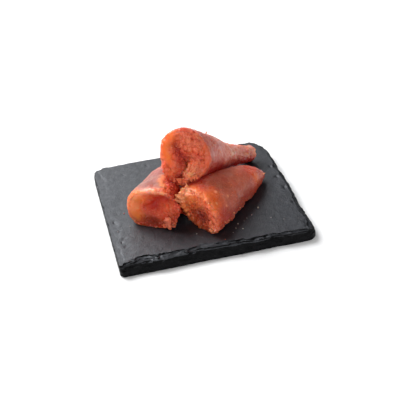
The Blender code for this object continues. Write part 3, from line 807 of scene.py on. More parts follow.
        # Painted shade: deep red on the underside.
        under = ramp(turn_deg + 7 * edge_wave + 12 * ramp(along, 0.40, 0.60), 6, -22) * ramp(turn_deg, -170, -130) * ramp(dist, 3.0, 9.0) * ~on_face
        z["hollow"] = np.maximum(z["hollow"], under)
    else:
        beads = []
    wet = np.zeros(len(verts))
    if name == "mentaiko_left":
        wet = 0.8 * spot(verts, (-29.5, -16.5, 26.5, 3.6, 1.0), (-26.0, -19.5, 27.2, 3.4, 1.0), (-22.5, -20.5, 27.2, 2.6, 0.7))
        # Painted highlight: pale spots on the wet shoulder.
        z["pale"] = np.maximum(z["pale"], 0.55 * spot(verts, (-28.7, -17.5, 27.1, 2.2, 1.0), (-24.1, -20.5, 27.6, 2.2, 1.0)) * (0.4 + 0.6 * ramp(edge_wave, -0.5, 0.6)))
    elif name == "mentaiko_top":
        wet = spot(verts, (2.0, -3.0, 47.5, 5.0, 0.5), (22.6, 9.5, 25.0, 3.0, 0.6))
    veil = np.zeros(len(verts))
    if name == "mentaiko_left":
        veil = np.where(on_face, 0.5 * curl, np.maximum(0.15 + 0.75 * ramp(dist + 2 * edge_wave, 1.0, 11.0),
                                                        ramp(turn_deg, 112, 140) * ramp(dist, 1.5, 6.0))) * (1 - bare)
        z["thin"] = np.maximum(z["thin"], 0.6 * ramp(dist + edge_wave, 6, 1) * (1 - bare) * ~on_face)
        z["pale"] = np.maximum(z["pale"], 0.20 * z["thin"])
        z["thin"] *= 1 - 0.8 * ramp(turn_deg, 100, 125) * ramp(dist, 0.5, 3.0)
        veil = np.maximum(veil, 0.92 * ramp(turn_deg, 90, 112) * ramp(dist + 0.5 * edge_wave, -0.4, 1.2) * ~on_face)
        veil = veil * (1 - 0.55 * ramp(along, 0.38, 0.70))
    elif name == "mentaiko_top":
        veil = np.where(on_face, 0.7 * curl, 0.22 * ramp(dist + edge_wave, 0.0, 5.0) * (1 - 0.6 * ramp(along, 0.45, 0.8)))
    else:
        veil = 0.30 * ramp(dist + 2 * edge_wave, 6.0, 13.0) * ramp(along, 0.82, 0.68) * ~on_face
        # Painted shade: deep red low on the skin.
        z["hollow"] = np.maximum(z["hollow"], 0.26 * ramp(turn_deg, 12, -18) * ramp(turn_deg, -130, -100) * ramp(dist, 2, 8) * ~on_face)
        z["pale"] = np.maximum(z["pale"], 0.13 * ramp(dist + 2 * edge_wave, 5, 11) * ramp(turn_deg, -30, 20) * ramp(along, 0.8, 0.6) * ~on_face)
    speckle = ramp(fbm(verts, 1.3, seed + 62, 2), -0.25, 0.35)
    # Painted sheen: whitish spots on the wet shoulder of the left sac and on the upper skin of the others, and pale on
    # the folds of the top sac's membrane.
    frost = np.zeros(len(verts))
    if name == "mentaiko_left":
        frost = spot(verts, (-28.7, -17.5, 27.1, 2.0, 0.9), (-24.1, -20.5, 27.6, 1.8, 0.8), (-26.5, -19.0, 27.4, 2.4, 0.6)) * (0.25 + 0.75 * speckle)
        frost *= 0.52
    elif name == "mentaiko_top":
        folds = spot(verts, (22.4, 9.0, 23.6, 1.8, 1.0), (23.0, 10.8, 25.4, 1.8, 0.9), (23.2, 9.6, 24.4, 1.9, 0.9),
                     (17.0, 7.5, 31.6, 1.6, 0.5), (18.0, 5.0, 28.5, 1.4, 0.45), (20.6, 9.6, 28.0, 1.8, 0.4))
        frost = 0.74 * folds * (0.45 + 0.55 * speckle) * ~on_face
        z["thin"] = np.maximum(z["thin"], 0.50 * ramp(along, 0.05, 0.6) * (1 - 0.65 * ramp(along, 0.58, 0.80)) * ramp(turn_deg, -8, 16) * ~on_face)
        frost = np.maximum(frost, (0.27 + 0.27 * ramp(along, 0.55, 0.80)) * (0.35 + 0.65 * speckle) * ramp(turn_deg, -8, 16) * ramp(dist, 3, 8) * ~on_face)
        frost = np.maximum(frost, 0.50 * ramp(along, 0.97, 1.0) * (0.3 + 0.7 * speckle) * ramp(turn_deg, 5, 30) * ~on_face)
        # Painted shade: deep red along the foot of the tail.
        tail_foot = ramp(along, 0.72, 0.86) * ramp(turn_deg + 8 * edge_wave, 6, -18)
        z["hollow"] = np.maximum(z["hollow"], 0.95 * tail_foot * ~on_face)
        z["hollow"] = np.maximum(z["hollow"], 0.22 * ramp(along, 0.62, 0.78) * ramp(fbm(verts, 2.4, seed + 47, 2), -0.05, 0.45) * ~on_face)
        veil = veil * (1 - tail_foot)
        frost = frost * (1 - 0.9 * tail_foot)
        frost = np.maximum(frost, 0.22 * speckle * bell(turn_deg - 105, 14) * ramp(dist, 2, 6) * ~on_face)
    else:
        frost = 0.22 * bell(turn_deg - 100, 8) * ramp(along, 0.62, 0.80) * ~on_face
    bead_spots = spot(verts, *beads) if beads else np.zeros(len(verts))
    z["pale"] = np.maximum(z["pale"], bead_spots)

    # Relief: lumps and eggs on the torn face, the same eggs faintly through the
    # skin, dents and lengthwise wrinkles.
    nrm = point_normals(verts, quads, tris)
    if name != "mentaiko_top":
        # Painted shade: darker towards the slate.
        z["shade"] = np.maximum(z["shade"], 0.75 * ramp(verts[:, 2] + 0.5 * edge_wave, floor + 4.4, floor + 0.4))
    warp = np.stack([fbm(verts, 2.5, seed + 9 + k, 2) for k in range(3)], axis=1) * 0.30
    f1, f2, own, place = cells(verts + warp, EGG, seed)
    bead = np.sqrt(np.clip(1 - (f1 / 0.68) ** 2, 0, 1))
    gap = 1 - ramp(f2 - f1, 0.02, 0.22)
    g1, g2, gown, _gp = cells(verts + 2.2 * warp, 2.25, seed + 3)
    lump = np.sqrt(np.clip(1 - (g1 / 0.80) ** 2, 0, 1))
    torn = bare * (1 - 0.88 * z["smooth"]) * (np.where(on_face, 0.34 + 0.30 * ramp((verts - centre) @ right / half_w, 0.2, 0.8), 1.0) if name == "mentaiko_left" else 1.0)
    relief = torn * (0.30 * (bead - 0.6) + 0.20 * (own - 0.5))
    bold = 1.45 if name == "mentaiko_top" else 1.0
    relief += torn * (bold * (0.75 * (lump - 0.62) + 0.40 * (gown - 0.5)) + 0.55 * fbm(verts, 4.6, seed + 20, 3) + 0.40 * fbm(verts, 1.5, seed + 25, 2))
    membrane = 1 - torn
    _pt, way_at = middle_line(sac, np.clip(along, 0, 1))
    lengthwise = np.einsum("ij,ij->i", verts - sac["points"][0], way_at)
    stretched = verts - 0.75 * lengthwise[:, None] * way_at
    wrinkle = 1 - np.abs(fbm(stretched, 2.4, seed + 30, 3))
    patch = ramp(fbm(verts, 7.0, seed + 33, 2), -0.3, 0.5)
    quiet = 1 - 0.6 * np.where(on_face, z["smooth"], 0)
    relief += membrane * quiet * (0.12 * (bead - 0.6) * (0.5 + patch) + 0.16 * (wrinkle - 0.75) * (0.4 + patch)
                                  + 0.16 * (lump - 0.62) + 0.30 * fbm(verts, 6.0, seed + 36, 2) + 0.07 * fbm(verts, 1.0, seed + 38, 2))
    tail = ramp(along, 0.62, 1.0)
    relief += membrane * tail * 0.28 * (0.3 - np.abs(fbm(stretched, 2.0, seed + 41, 2)))
    if name == "mentaiko_top":
        # The emptied end of the membrane is crumpled lengthwise, with a few folds across.
        crumple = ramp(along, 0.50, 0.82) * ~on_face
        crumple *= ramp(along, 1.0, 0.93) * 0.5 + 0.5
        relief += crumple * (0.80 * (0.30 - np.abs(fbm(stretched, 3.2, seed + 44, 3))) + 0.50 * fbm(verts, 2.4, seed + 46, 3))
        relief += 0.55 * folds * (0.4 + 0.6 * speckle) * ~on_face
        relief += ramp(along, 0.88, 0.99) * ~on_face * 0.22 * ripple(angle, seed + 9, (2, 3, 4), 0.2)
    relief += 0.35 * bead_spots
    if name == "mentaiko_right":
        clots = ramp(fbm(verts, 1.7, seed + 64, 2), -0.1, 0.40) * ramp(turn_deg, -14, -36) * ramp(turn_deg, -130, -100) * ramp(along, 0.92, 0.8) * ~on_face
        relief += 0.62 * clots + 0.30 * clots * (bead - 0.5)
        z["pale"] = np.maximum(z["pale"], 0.16 * clots * lump)
    elif name == "mentaiko_top":
        clots = ramp(fbm(verts, 2.0, seed + 64, 2), 0.05, 0.5) * bell(turn_deg - 104, 16) * ramp(dist, 5, 9) * ramp(dist, 26, 20) * ~on_face
        relief += 0.7 * clots
    if name == "mentaiko_left":
        relief -= spot(verts, (-14.0, -22.0, 22.0, 4.2, 3.6), (-12.5, -18.0, 21.0, 4.5, 3.0), (-12.3, -21.5, 16.5, 4.6, 2.4),
                       (-13.0, -22.5, 12.5, 3.8, 1.6))
    clotted = ramp(fbm(verts, 3.0, seed + 60, 3), -0.35, 0.35)
    crumbs = np.where(torn > 0.45, {"mentaiko_right": 0.35, "mentaiko_top": 0.50, "mentaiko_left": 0.5}[name], 0.0)
    if name == "mentaiko_right":
        crumbs = np.maximum(crumbs, 0.55 * clotted * ramp(turn_deg, -100, -70) * ramp(turn_deg, 5, -25) * ramp(dist, 0.5, 3) * ~on_face)
        crumbs = np.maximum(crumbs, 0.06 * clotted * ramp(turn_deg, -20, 10) * ~on_face)
    elif name == "mentaiko_top":
        crumbs = np.maximum(crumbs, 0.7 * clotted * ramp(turn_deg, -20, -50) * ramp(turn_deg, -150, -120) * ramp(dist, 9, 4) * ~on_face)
        crumbs = np.maximum(crumbs, 0.10 * clotted * ramp(dist, 20, 12) * ~on_face)
        crumbs = np.maximum(crumbs, 0.45 * on_face * (z["smooth"] < 0.5))
    else:
        crumbs = np.maximum(crumbs, 0.12 * clotted * ramp(turn_deg, 120, 150) * ~on_face)
    lower = ramp(verts[:, 2], floor + 0.05, floor + 1.5)
    relief = relief * (0.15 + 0.85 * lower)
    verts = verts + nrm * relief[:, None]
    if name == "mentaiko_left":
        verts[:, 0] -= spot(verts, (-11.5, -22.5, 17.0, 5.0, 2.6), (-13.0, -24.0, 11.5, 4.2, 1.8))
        verts[:, 2] -= 2.2 * bell(np.hypot(verts[:, 0] + 26.0, verts[:, 1] - 1.5), 7.5) * ramp(verts[:, 2], 12, 20)
    verts[:, 2] = np.maximum(verts[:, 2], floor)

    core_u = np.clip(along, 0.14, 0.95)
    cores = middle_line(sac, core_u)[0]
    cores[: nface * n] = middle_line(sac, np.array(0.14))[0]
    cores[m * n] = cores[0]
    rimness = bell(dist - 0.4, 0.5) * ~on_face
    return dict(name=name, sac=sac, verts=verts, quads=quads, tris=tris, core=cores, face=bare, zones=z,
                along=along, own=own, gap=gap, place=place, dist=dist, mauve=mauve, lump=lump,
                rim=rimness, angle=angle, normal=normal, right=right, upward=upward, centre=centre,
                half=(half_w, half_h), nface=nface, rows=m, cols=n, bead=bead, seed=seed, torn=torn,
                on_face=on_face, relief=relief, veil=veil, wet=wet, frost=frost, crumbs=crumbs)


def tree_of(shape):
    polys = [tuple(q) for q in shape["quads"].tolist()] + [tuple(t) for t in shape["tris"].tolist()]
    return BVHTree.FromPolygons([Vector(v) for v in shape["verts"].tolist()], polys)


def press_clear(shape, firm, tree, gap):
    """Points that lie in a neighbour give way towards the sac's own middle line."""
    low, high = firm["verts"].min(axis=0) - 1, firm["verts"].max(axis=0) + 1
    v = shape["verts"]
    near = np.where(np.all((v > low) & (v < high), axis=1))[0]
    for i in near:
        core = Vector(shape["core"][i])
        ray = Vector(v[i]) - core
        length = ray.length
        ray /= length
        hit, _n, _f, dist = tree.ray_cast(core, ray, length + gap)
        if hit is not None:
            length = max(min(length, dist - gap), 0.2 * length)
            v[i] = np.array(core + ray * length)
        for _ in range(12):
            _h, _n, _f, dist = tree.find_nearest(Vector(v[i]), gap)
            if _h is None or length < 0.5:
                break
            length -= max(gap - dist, 0.02)
            v[i] = np.array(core + ray * length)


def contact_shade(shape, other, tree, strength):
    """Painted shade: deep red roe where this sac comes close to another."""
    reach = 3.6
    low, high = other["verts"].min(axis=0) - reach, other["verts"].max(axis=0) + reach
    v, z = shape["verts"], shape["zones"]
    near = np.where(np.all((v > low) & (v < high), axis=1))[0]
    gap = np.full(len(v), reach)
    for i in near:
        _h, _n, _f, dist = tree.find_nearest(Vector(v[i]), reach)
        if dist is not None:
            gap[i] = dist
    gap = gap + 0.35 * fbm(v, 1.6, shape["seed"] + 80, 2)
    deep = ramp(gap, np.where(shape["on_face"], 1.3, 2.8) * strength, 0.35)
    z["hollow"] = np.maximum(z["hollow"], deep)
    z["shade"] = np.maximum(z["shade"], 0.35 * deep)
    for key in ("thin", "yellow", "pale"):
        z[key] = z[key] * (1 - 0.9 * deep)
    for key in ("veil", "frost"):
        shape[key] = shape[key] * (1 - 0.9 * deep)


def sac_object(shape, material):
    z = shape["zones"]
    pale = np.clip(z["pale"] + shape["rim_pale"], 0, 1)
    zone = np.stack([shape["face"], pale, z["hollow"], z["thin"]], axis=1)
    grain = np.stack([shape["along"], shape["own"], z["smooth"], shape["gap"]], axis=1)
    lump = shape["lump"]
    if shape["name"] == "mentaiko_left":
        lump = np.where(shape["on_face"], 0.5 + 0.35 * (lump - 0.5), lump)
    tone = np.stack([z["yellow"], z["shade"], shape["mauve"], lump], axis=1)
    nil = np.zeros(len(pale))
    film = np.stack([shape["veil"], shape["wet"], shape["frost"], nil + 1], axis=1)
    return make_object(shape["name"] + "_roe", shape["verts"], shape["quads"], shape["tris"], material,
                       {"zone": zone, "grain": grain, "tone": tone, "film": film})


def proud_eggs(shape, seed):
    """Eggs that stand out of the torn roe, and crumbs of it that cling to the skin."""
    rng = np.random.default_rng(seed)
    z = shape["zones"]
    idx = np.where(shape["crumbs"] > 0.02)[0]
    key = np.round(shape["place"][idx] * 50).astype(np.int64)
    _u, inv = np.unique(key, axis=0, return_inverse=True)
    inv = inv.ravel()
    nrm = point_normals(shape["verts"], shape["quads"], shape["tris"])
    best = {}
    for o in np.argsort(-shape["bead"][idx]):
        best.setdefault(inv[o], idx[o])
    places, radii, squash, shade = [], [], [], []
    for g in sorted(best):
        i = best[g]
        roll, size, sink, wide, tint = rng.random(), rng.uniform(0.34, 0.50), rng.uniform(0.45, 0.95), rng.uniform(0.0, 0.35), rng.normal(0.45, 0.18)
        if roll > shape["crumbs"][i] or shape["bead"][i] < 0.55 or shape["verts"][i][2] < BOARD_THICK + 0.5:
            continue
        on_skin = shape["torn"][i] <= 0.45
        r = EGG * size * (0.85 if on_skin else 1.0)
        places.append(shape["verts"][i] - nrm[i] * r * sink * (0.9 if on_skin else 1.0))
        radii.append(r)
        squash.append(wide)
        # Each egg is darker in the painted shade of the sac under it and lighter in its painted glow.
        shade.append(np.clip(tint, 0, 1) * (1 - 0.8 * z["hollow"][i]) * (1 - 0.5 * z["shade"][i]) + 0.35 * z["thin"][i] + 0.3 * z["pale"][i])
    return np.array(places), np.array(radii), np.array(squash), np.array(shade)


def shred(start, way, length, width, bend, seed):
    """A torn wisp of roe and membrane: a short tapering, lumpy finger."""
    rng = np.random.default_rng(seed)
    sides, steps = (26, 20) if width > 1.3 else (12, 10)
    way = np.array(way, float)
    way /= np.linalg.norm(way)
    bend = np.array(bend, float)
    ref = np.cross(way, [0.3, 0.5, 0.8])
    ref /= np.linalg.norm(ref)
    other = np.cross(way, ref)
    a = np.linspace(0, TAU, sides, endpoint=False)
    flat = rng.uniform(0.55, 0.9)
    rows = []
    for t in np.linspace(0, 1, steps):
        mid = np.array(start, float) + way * length * t + bend * length * t * t
        r = width * 0.5 * (1 - t ** 1.8) ** 0.6 * (1 + 0.22 * math.sin(7 * t + seed)) + 0.02
        ring = mid + r * (np.cos(a)[:, None] * ref + flat * np.sin(a)[:, None] * other)
        rows.append(ring)
    v = np.array(rows).reshape(-1, 3)
    tip = rows[-1].mean(axis=0) + way * 0.03
    root = rows[0].mean(axis=0)
    verts = np.concatenate([v, root[None], tip[None]])
    rough = min(0.10 * width + 0.02, 0.34)
    verts = verts + rough * np.stack([fbm(verts, 1.2, seed + k, 2) for k in (1, 2, 3)], axis=1)
    quads, tris = grid_faces(steps, sides, len(v), len(v) + 1)
    quads, tris = faces_out(verts, quads, tris)
    if width > 1.3:
        f1 = cells(verts, EGG * 0.95, seed)[0]
        bead = np.sqrt(np.clip(1 - (f1 / 0.68) ** 2, 0, 1))
        verts = verts + point_normals(verts, quads, tris) * (0.34 * (bead - 0.5))[:, None]
    return verts, quads, tris


def shreds_object(name, items, material):
    """items: start, way, length, width, bend, paleness (0.9 and more: yellowish
    too, below 0: ochre)."""
    vs, qs, ts, zs = [], [], [], []
    base = 0
    for k, (start, way, length, width, bend, pale) in enumerate(items):
        v, q, t = shred(start, way, length, width, bend, 900 + 7 * k)
        vs.append(v)
        qs.append(q + base)
        ts.append(t + base)
        zs.append(np.full(len(v), pale))
        base += len(v)
    v = np.concatenate(vs)
    pale = np.concatenate(zs)
    one, nil = np.ones(len(v)), np.zeros(len(v))
    golden = (pale > 0.85) | (pale < 0)
    rosy = 0.12 * ((pale > 0.05) & (pale < 0.30))
    pale = np.where(pale < 0, 0.25, np.where(pale > 0.85, 0.8 * pale, pale))
    v[:, 2] = np.maximum(v[:, 2], BOARD_THICK + 0.02)
    return make_object(name, v, np.concatenate(qs), np.concatenate(ts), material,
                       {"zone": np.stack([one, pale, nil, 0.6 * golden], axis=1),
                        "grain": np.stack([nil, 0.5 * one, 0.5 * one, nil], axis=1),
                        "tone": np.stack([0.6 * golden, nil, nil, 0.6 * one], axis=1),
                        "film": np.stack([nil, nil, rosy, one], axis=1)})


# ----------------------------------------------------------------------------
# The slate board
# ----------------------------------------------------------------------------
def board_outline(count):
    half = BOARD_SIDE / 2
    corners = [("front_right", 1, -1), ("back_right", 1, 1), ("back_left", -1, 1), ("front_left", -1, -1)]
    path = []
    for name, sx, sy in corners:
        r = CORNER_CUT[name]
        cx, cy = sx * (half - r), sy * (half - r)
        begin = math.atan2(sy, sx) - math.pi / 4
        for k in range(9):
            a = begin + k / 8 * math.pi / 2
            path.append((cx + r * math.cos(a), cy + r * math.sin(a), math.cos(a), math.sin(a)))
    path = np.array(path)
    closed = np.vstack([path, path[:1]])
    step = np.hypot(*(closed[1:, :2] - closed[:-1, :2]).T)
    run = np.concatenate([[0], np.cumsum(step)])
    want = np.linspace(0, run[-1], count, endpoint=False)
    out = np.stack([np.interp(want, run, closed[:, k]) for k in range(4)], axis=1)
    out[:, 2:] /= np.linalg.norm(out[:, 2:], axis=1, keepdims=True)
    return out


def edge_bevel(x, y, nx, ny):
    weight = {"front": max(-ny, 0) ** 2, "right": max(nx, 0) ** 2,
              "back": max(ny, 0) ** 2, "left": max(-nx, 0) ** 2}
    total = sum(weight.values())
    bevel = sum(EDGE_BEVEL[k] * w for k, w in weight.items()) / total
    front = weight["front"] / total
    bevel += front * (1.8 * math.exp(-((x + 38) / 9) ** 2) + 1.2 * math.exp(-((x + 4) / 9) ** 2)
                      - 2.0 / (1 + math.exp(-(x - 26) / 6)))
    return bevel


def build_board(top_material, rock_material):
    line = board_outline(EDGE_POINTS)
    n = len(line)
    angle = np.linspace(0, TAU, n, endpoint=False)
    bevel = np.array([edge_bevel(*p) for p in line])
    wave = EDGE_WAVE * (0.55 + 0.6 * ripple(angle, 11, (9, 13, 17, 23, 31), 0.35))
    foot = np.maximum(UNDER_CHAMFER + 0.25 * wave, 0)
    run = np.column_stack([line[:, 0], line[:, 1], np.zeros(n)])
    x_at, y_at = line[:, 0], line[:, 1]
    front = np.clip(-line[:, 3], 0, 1) ** 2
    # The stone is split in thin layers; each layer has broken off along its
    # own line, so the knapped edge goes down in steep risers and narrow ledges.
    tops = [1.0, 2.2, 3.3, 4.3, 5.2, 5.9, BOARD_THICK]
    share = [0.0, 0.05, 0.12, 0.24, 0.42, 0.68, 1.0]          # of the whole bevel, cumulated
    insets = []
    for k in range(len(tops)):
        rough = 0.5 * fbm(run, 9.0, 300 + 3 * k, 3) + 0.25 * fbm(run, 2.6, 340 + 3 * k, 2)
        jag = 0.30 * np.clip(fbm(run, 1.3, 380 + k, 2), -1, 1)
        inset = bevel * share[k] + wave * (0.25 + 0.75 * tops[k] / BOARD_THICK) * 0.8 + (0.25 + 0.12 * k) * rough + jag * (0.2 + 0.08 * k)
        insets.append(inset)
    insets = np.array(insets)
    nominal = insets.mean(axis=1)
    # Broken layers on the front edge: middle x, half width, how far back.
    for x, w, back, k0 in [(-24.0, 7.5, 2.0, 5), (-37.0, 6.0, 1.6, 5), (-2.0, 8.0, 1.3, 6), (9.0, 5.0, 1.1, 5),
                           (24.0, 6.0, 1.0, 6), (39.0, 7.0, 1.2, 6), (-12.0, 4.5, 0.8, 4), (30.0, 4.0, 0.6, 4)]:
        lump = ramp(w - np.abs(x_at - x), 0, 1.6) * front
        insets[k0:] += back * lump
    insets = np.maximum.accumulate(insets, axis=0)
    shift = np.maximum(insets.mean(axis=1) - nominal, 0)[:, None] + 0.25
    insets = insets - shift * (1 - 0.6 * front) - 1.0 * np.clip(line[:, 3], 0, 1) * ramp(x_at, 15, -10) - 1.3 * np.clip(-line[:, 2], 0, 1) \
        - 1.0 * np.clip(line[:, 2], 0, 1) * ramp(y_at, -25, 0)
    insets = np.maximum.accumulate(np.maximum(insets, 0.0), axis=0)
    insets[-1] = np.maximum(insets[-1], insets[-2] + 0.05)
    rows = [np.column_stack([line[:, :2] - line[:, 2:] * (foot + 0.15)[:, None], np.zeros(n)]),
            np.column_stack([line[:, :2] - line[:, 2:] * (0.35 * foot)[:, None], np.full(n, 0.35)])]
    low = 0.35
    for k, top in enumerate(tops):
        this = insets[k]
        before = insets[k - 1] if k else this
        tilt = 0.10 + 0.12 * (k > 3)
        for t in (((0.05, 0.35, 0.65, 0.93))):
            z = low + (top - low) * t
            inset = before + (this - before) * (0.72 + 0.28 * t) + tilt * (t - 1) * 0.5
            rows.append(np.column_stack([line[:, :2] - line[:, 2:] * np.maximum(inset, 0)[:, None], np.full(n, z)]))
        low = top
    rows.append(np.column_stack([line[:, :2] - line[:, 2:] * insets[-1][:, None], np.full(n, BOARD_THICK)]))
    side_rows = len(rows)
    top_outline = rows[-1][:, :2]
    shrink = np.concatenate([np.linspace(0.0, 0.10, 40)[1:], np.linspace(0.10, 0.97, 42)[1:]])
    for s in shrink:
        rows.append(np.column_stack([top_outline * (1 - s), np.full(n, BOARD_THICK)]))
    under = [np.column_stack([rows[0][:, :2] * f, np.zeros(n)]) for f in (0.35, 0.8)]
    table = np.array(under + rows)
    m = len(table)
    side0 = len(under)
    verts = table.reshape(-1, 3)
    row_of = np.repeat(np.arange(m), n)
    is_top = row_of >= side0 + side_rows - 1
    is_under = row_of <= side0

    # True up to the nominal square.
    for axis in (0, 1):
        lo, hi = verts[:, axis].min(), verts[:, axis].max()
        verts[:, axis] = (verts[:, axis] - (lo + hi) / 2) * (BOARD_SIDE - 0.2) / (hi - lo)

    # Flakes knocked off the edge: middle of each bite, and its radii.
    rng = np.random.default_rng(8)
    flakes = []
    for k in range(190):
        j = int(rng.integers(n))
        x, y, nx, ny = line[j]
        size = rng.uniform(0.8, 2.9)
        z = rng.choice([6.9, 6.2, 5.0, 3.6, 2.0], p=[0.42, 0.2, 0.14, 0.14, 0.1])
        back = insets[int(np.searchsorted(tops, min(z, BOARD_THICK)))][j] if z < BOARD_THICK else insets[-1][j]
        off = size * rng.uniform(0.15, 0.6)
        flakes.append((x + nx * (off - back), y + ny * (off - back), z,
                       size * (0.6 + abs(ny)), size * (0.6 + abs(nx)), rng.uniform(0.45, 1.2)))
    for x, y, z, rx, ry, rz in flakes:
        c, r = np.array([x, y, z]), np.array([rx, ry, rz])
        q = (verts - c) / r
        d = np.linalg.norm(q, axis=1)
        hit = (d < 1) & (d > 1e-6) & ~is_under
        moved = c + q[hit] / d[hit][:, None] * r
        # A bite only takes stone away: never outwards, never up.
        old = verts[hit]
        moved[:, 2] = np.minimum(moved[:, 2], old[:, 2])
        moved[:, 0] = np.where(np.abs(moved[:, 0]) > np.abs(old[:, 0]), old[:, 0], moved[:, 0])
        moved[:, 1] = np.where(np.abs(moved[:, 1]) > np.abs(old[:, 1]), old[:, 1], moved[:, 1])
        verts[hit] = moved

    # The split face: one thin lost layer in places near the edge, dimples, a
    # few deep pits and a fine grain.
    inner = np.abs(verts[:, :2]).max(axis=1)
    to_edge = BOARD_SIDE / 2 - inner
    flat = np.column_stack([verts[:, :2], np.zeros(len(verts))])
    step = to_edge + 3.5 * fbm(flat, 11, 401, 3)
    patchy = ramp(fbm(flat, 24, 405, 2), 0.15, 0.45)
    terrace = 0.13 * (1 - ramp(step, 3.0, 4.4)) * patchy
    f1, _f2, own, _pl = cells(flat, 5.2, 411, 0.95)
    dimple = 0.07 * bell(f1, 0.25) * (own > 0.6)
    pits = np.zeros(len(verts))
    for x, y, r in [(-44.6, -26.0, 0.75), (-46.0, -29.0, 0.55), (-44.8, -33.5, 0.8), (-45.6, -18.0, 0.5), (-47.0, -9.0, 0.6),
                    (-44.0, -40.0, 0.6), (46.0, 6.0, 0.9), (46.6, -6.0, 1.0), (45.8, 18.0, 0.8), (46.4, -22.0, 0.9),
                    (-20.0, 44.5, 0.7), (-34.0, 38.0, 0.6), (38.0, -30.0, 0.5)]:
        pits = np.maximum(pits, bell(np.hypot(verts[:, 0] - x, (verts[:, 1] - y) * 0.8), r))
    grain = 0.050 * fbm(flat * (1, 0.7, 1), 2.6, 420, 4)
    drop = terrace + dimple + 0.40 * pits - grain + 0.06
    verts[is_top, 2] -= np.clip(drop, 0.0, None)[is_top] * ramp(inner, -1, 4)[is_top]
    rough = fbm(verts * (1, 1, 2.0), 1.1, 430, 3) * 0.12
    side = ~(is_top | is_under)
    out = np.repeat(line[None, :, 2:], m, axis=0).reshape(-1, 2)
    verts[side, :2] += out[side] * (rough[side] - 0.1)[:, None]

    quads, _t = grid_faces(m, n, None, None)
    hub_low, hub_top = len(verts), len(verts) + 1
    verts = np.concatenate([verts, [[0, 0, 0.0], [0, 0, BOARD_THICK - 0.1]]])
    jj = np.arange(n)
    kk = (jj + 1) % n
    tris = np.concatenate([np.stack([np.full(n, hub_low), jj, kk], axis=1),
                           np.stack([np.full(n, hub_top), (m - 1) * n + kk, (m - 1) * n + jj], axis=1)])
    quads, tris = faces_out(verts, quads, tris)
    # Painted shade: the deep pits are darkened in the stone's colour.
    deep = np.concatenate([pits, [0, 0]])
    nz = np.cross(verts[quads[:, 2]] - verts[quads[:, 0]], verts[quads[:, 3]] - verts[quads[:, 1]])
    nz = nz[:, 2] / np.maximum(np.linalg.norm(nz, axis=1), 1e-12)
    row_q = quads.min(axis=1) // n
    zq = verts[quads].mean(axis=1)
    steep = ((nz < 0.72) | ((zq[:, 2] < 4.6) & (zq[:, 1] < -30))) & (row_q >= side0) & (row_q < side0 + side_rows + 6)
    stone = np.stack([np.zeros(len(verts)), deep, np.zeros(len(verts)), np.ones(len(verts))], axis=1)
    obj = make_object("slate_stone", verts, quads, tris, top_material, {"stone": stone})
    obj.data.materials.append(rock_material)
    index = np.zeros(len(obj.data.polygons), np.int32)
    index[: len(quads)] = steep.astype(np.int32)
    if len(index) == len(quads) + len(tris):
        obj.data.polygons.foreach_set("material_index", index)
    return obj


# ----------------------------------------------------------------------------
# Camera, light and floor
# ----------------------------------------------------------------------------
WORLD = 0.06
LIGHTS = [((-0.44, 0.54, 0.70), 1.1, 0.75, 17.0, (0.980, 0.988, 1.0)),    # soft box above, behind and left
          ((-0.16, 0.88, 0.52), 1.2, 0.95, 5.4, (0.975, 0.985, 1.0)),     # low soft box behind
          ((0.05, -0.10, 1.00), 1.3, 1.50, 2.0, (1.0, 1.0, 1.0)),         # broad, overhead
          ((-0.70, -0.55, 0.48), 1.2, 0.35, 2.6, (1.0, 0.985, 0.96)),     # front left
          ((0.22, -0.78, 0.56), 1.3, 0.45, 6.0, (1.0, 1.0, 1.0))]         # front


def place_camera():
    elevation, azimuth, roll = math.radians(31.56), math.radians(-10.31), math.radians(5.35)
    target, distance = Vector((0.00232, 0.00718, 0.0)), 0.51945
    ca, sa, ce, se = math.cos(azimuth), math.sin(azimuth), math.cos(elevation), math.sin(elevation)
    back = Vector((sa * ce, -ca * ce, se))
    level = Vector((ca, sa, 0.0))
    up0 = back.cross(level)
    right = level * math.cos(roll) - up0 * math.sin(roll)
    up = level * math.sin(roll) + up0 * math.cos(roll)
    cam = bpy.data.cameras.new("camera")
    cam.sensor_fit = "HORIZONTAL"
    cam.sensor_width = 36.0
    cam.lens = 951.3 / 400 * 36.0
    cam.clip_start, cam.clip_end = 0.01, 20
    obj = bpy.data.objects.new("camera", cam)
    rot = Matrix((right, up, back)).transposed().to_4x4()
    obj.matrix_world = Matrix.Translation(target + back * distance) @ rot
    bpy.context.scene.collection.objects.link(obj)
    bpy.context.scene.camera = obj


def area_light(name, direction, distance, size, power, colour=(1, 1, 1), aim=(0, 0, 0.01)):
    data = bpy.data.lights.new(name, "AREA")
    data.shape = "DISK"
    data.size = size
    data.energy = power
    data.color = colour
    obj = bpy.data.objects.new(name, data)
    d = Vector(direction).normalized()
    obj.location = Vector(aim) + d * distance
    obj.rotation_euler = d.to_track_quat("Z", "Y").to_euler()
    bpy.context.scene.collection.objects.link(obj)
    return obj


def set_stage():
    world = bpy.data.worlds.new("studio")
    world.use_nodes = True
    bg = world.node_tree.nodes["Background"]
    bg.inputs["Color"].default_value = (0.95, 0.97, 1.0, 1.0)
    bg.inputs["Strength"].default_value = WORLD
    bpy.context.scene.world = world
    for k, (way, distance, size, power, colour) in enumerate(LIGHTS):
        area_light("light_%d" % k, way, distance, size, power, colour)
    mesh = bpy.data.meshes.new("floor")
    bm = bmesh.new()
    bmesh.ops.create_grid(bm, x_segments=8, y_segments=8, size=2.5)
    bm.to_mesh(mesh)
    bm.free()
    floor = bpy.data.objects.new("floor", mesh)
    floor.location.z = -0.0002
    mesh.materials.append(floor_material())
    bpy.context.scene.collection.objects.link(floor)
    view = bpy.context.scene.view_settings
    view.view_transform = "Standard"
    view.look = "None"


place_camera()
set_stage()

slate = build_board(slate_material(), rock_material())
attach(slate, "root")
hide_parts("slate_board")

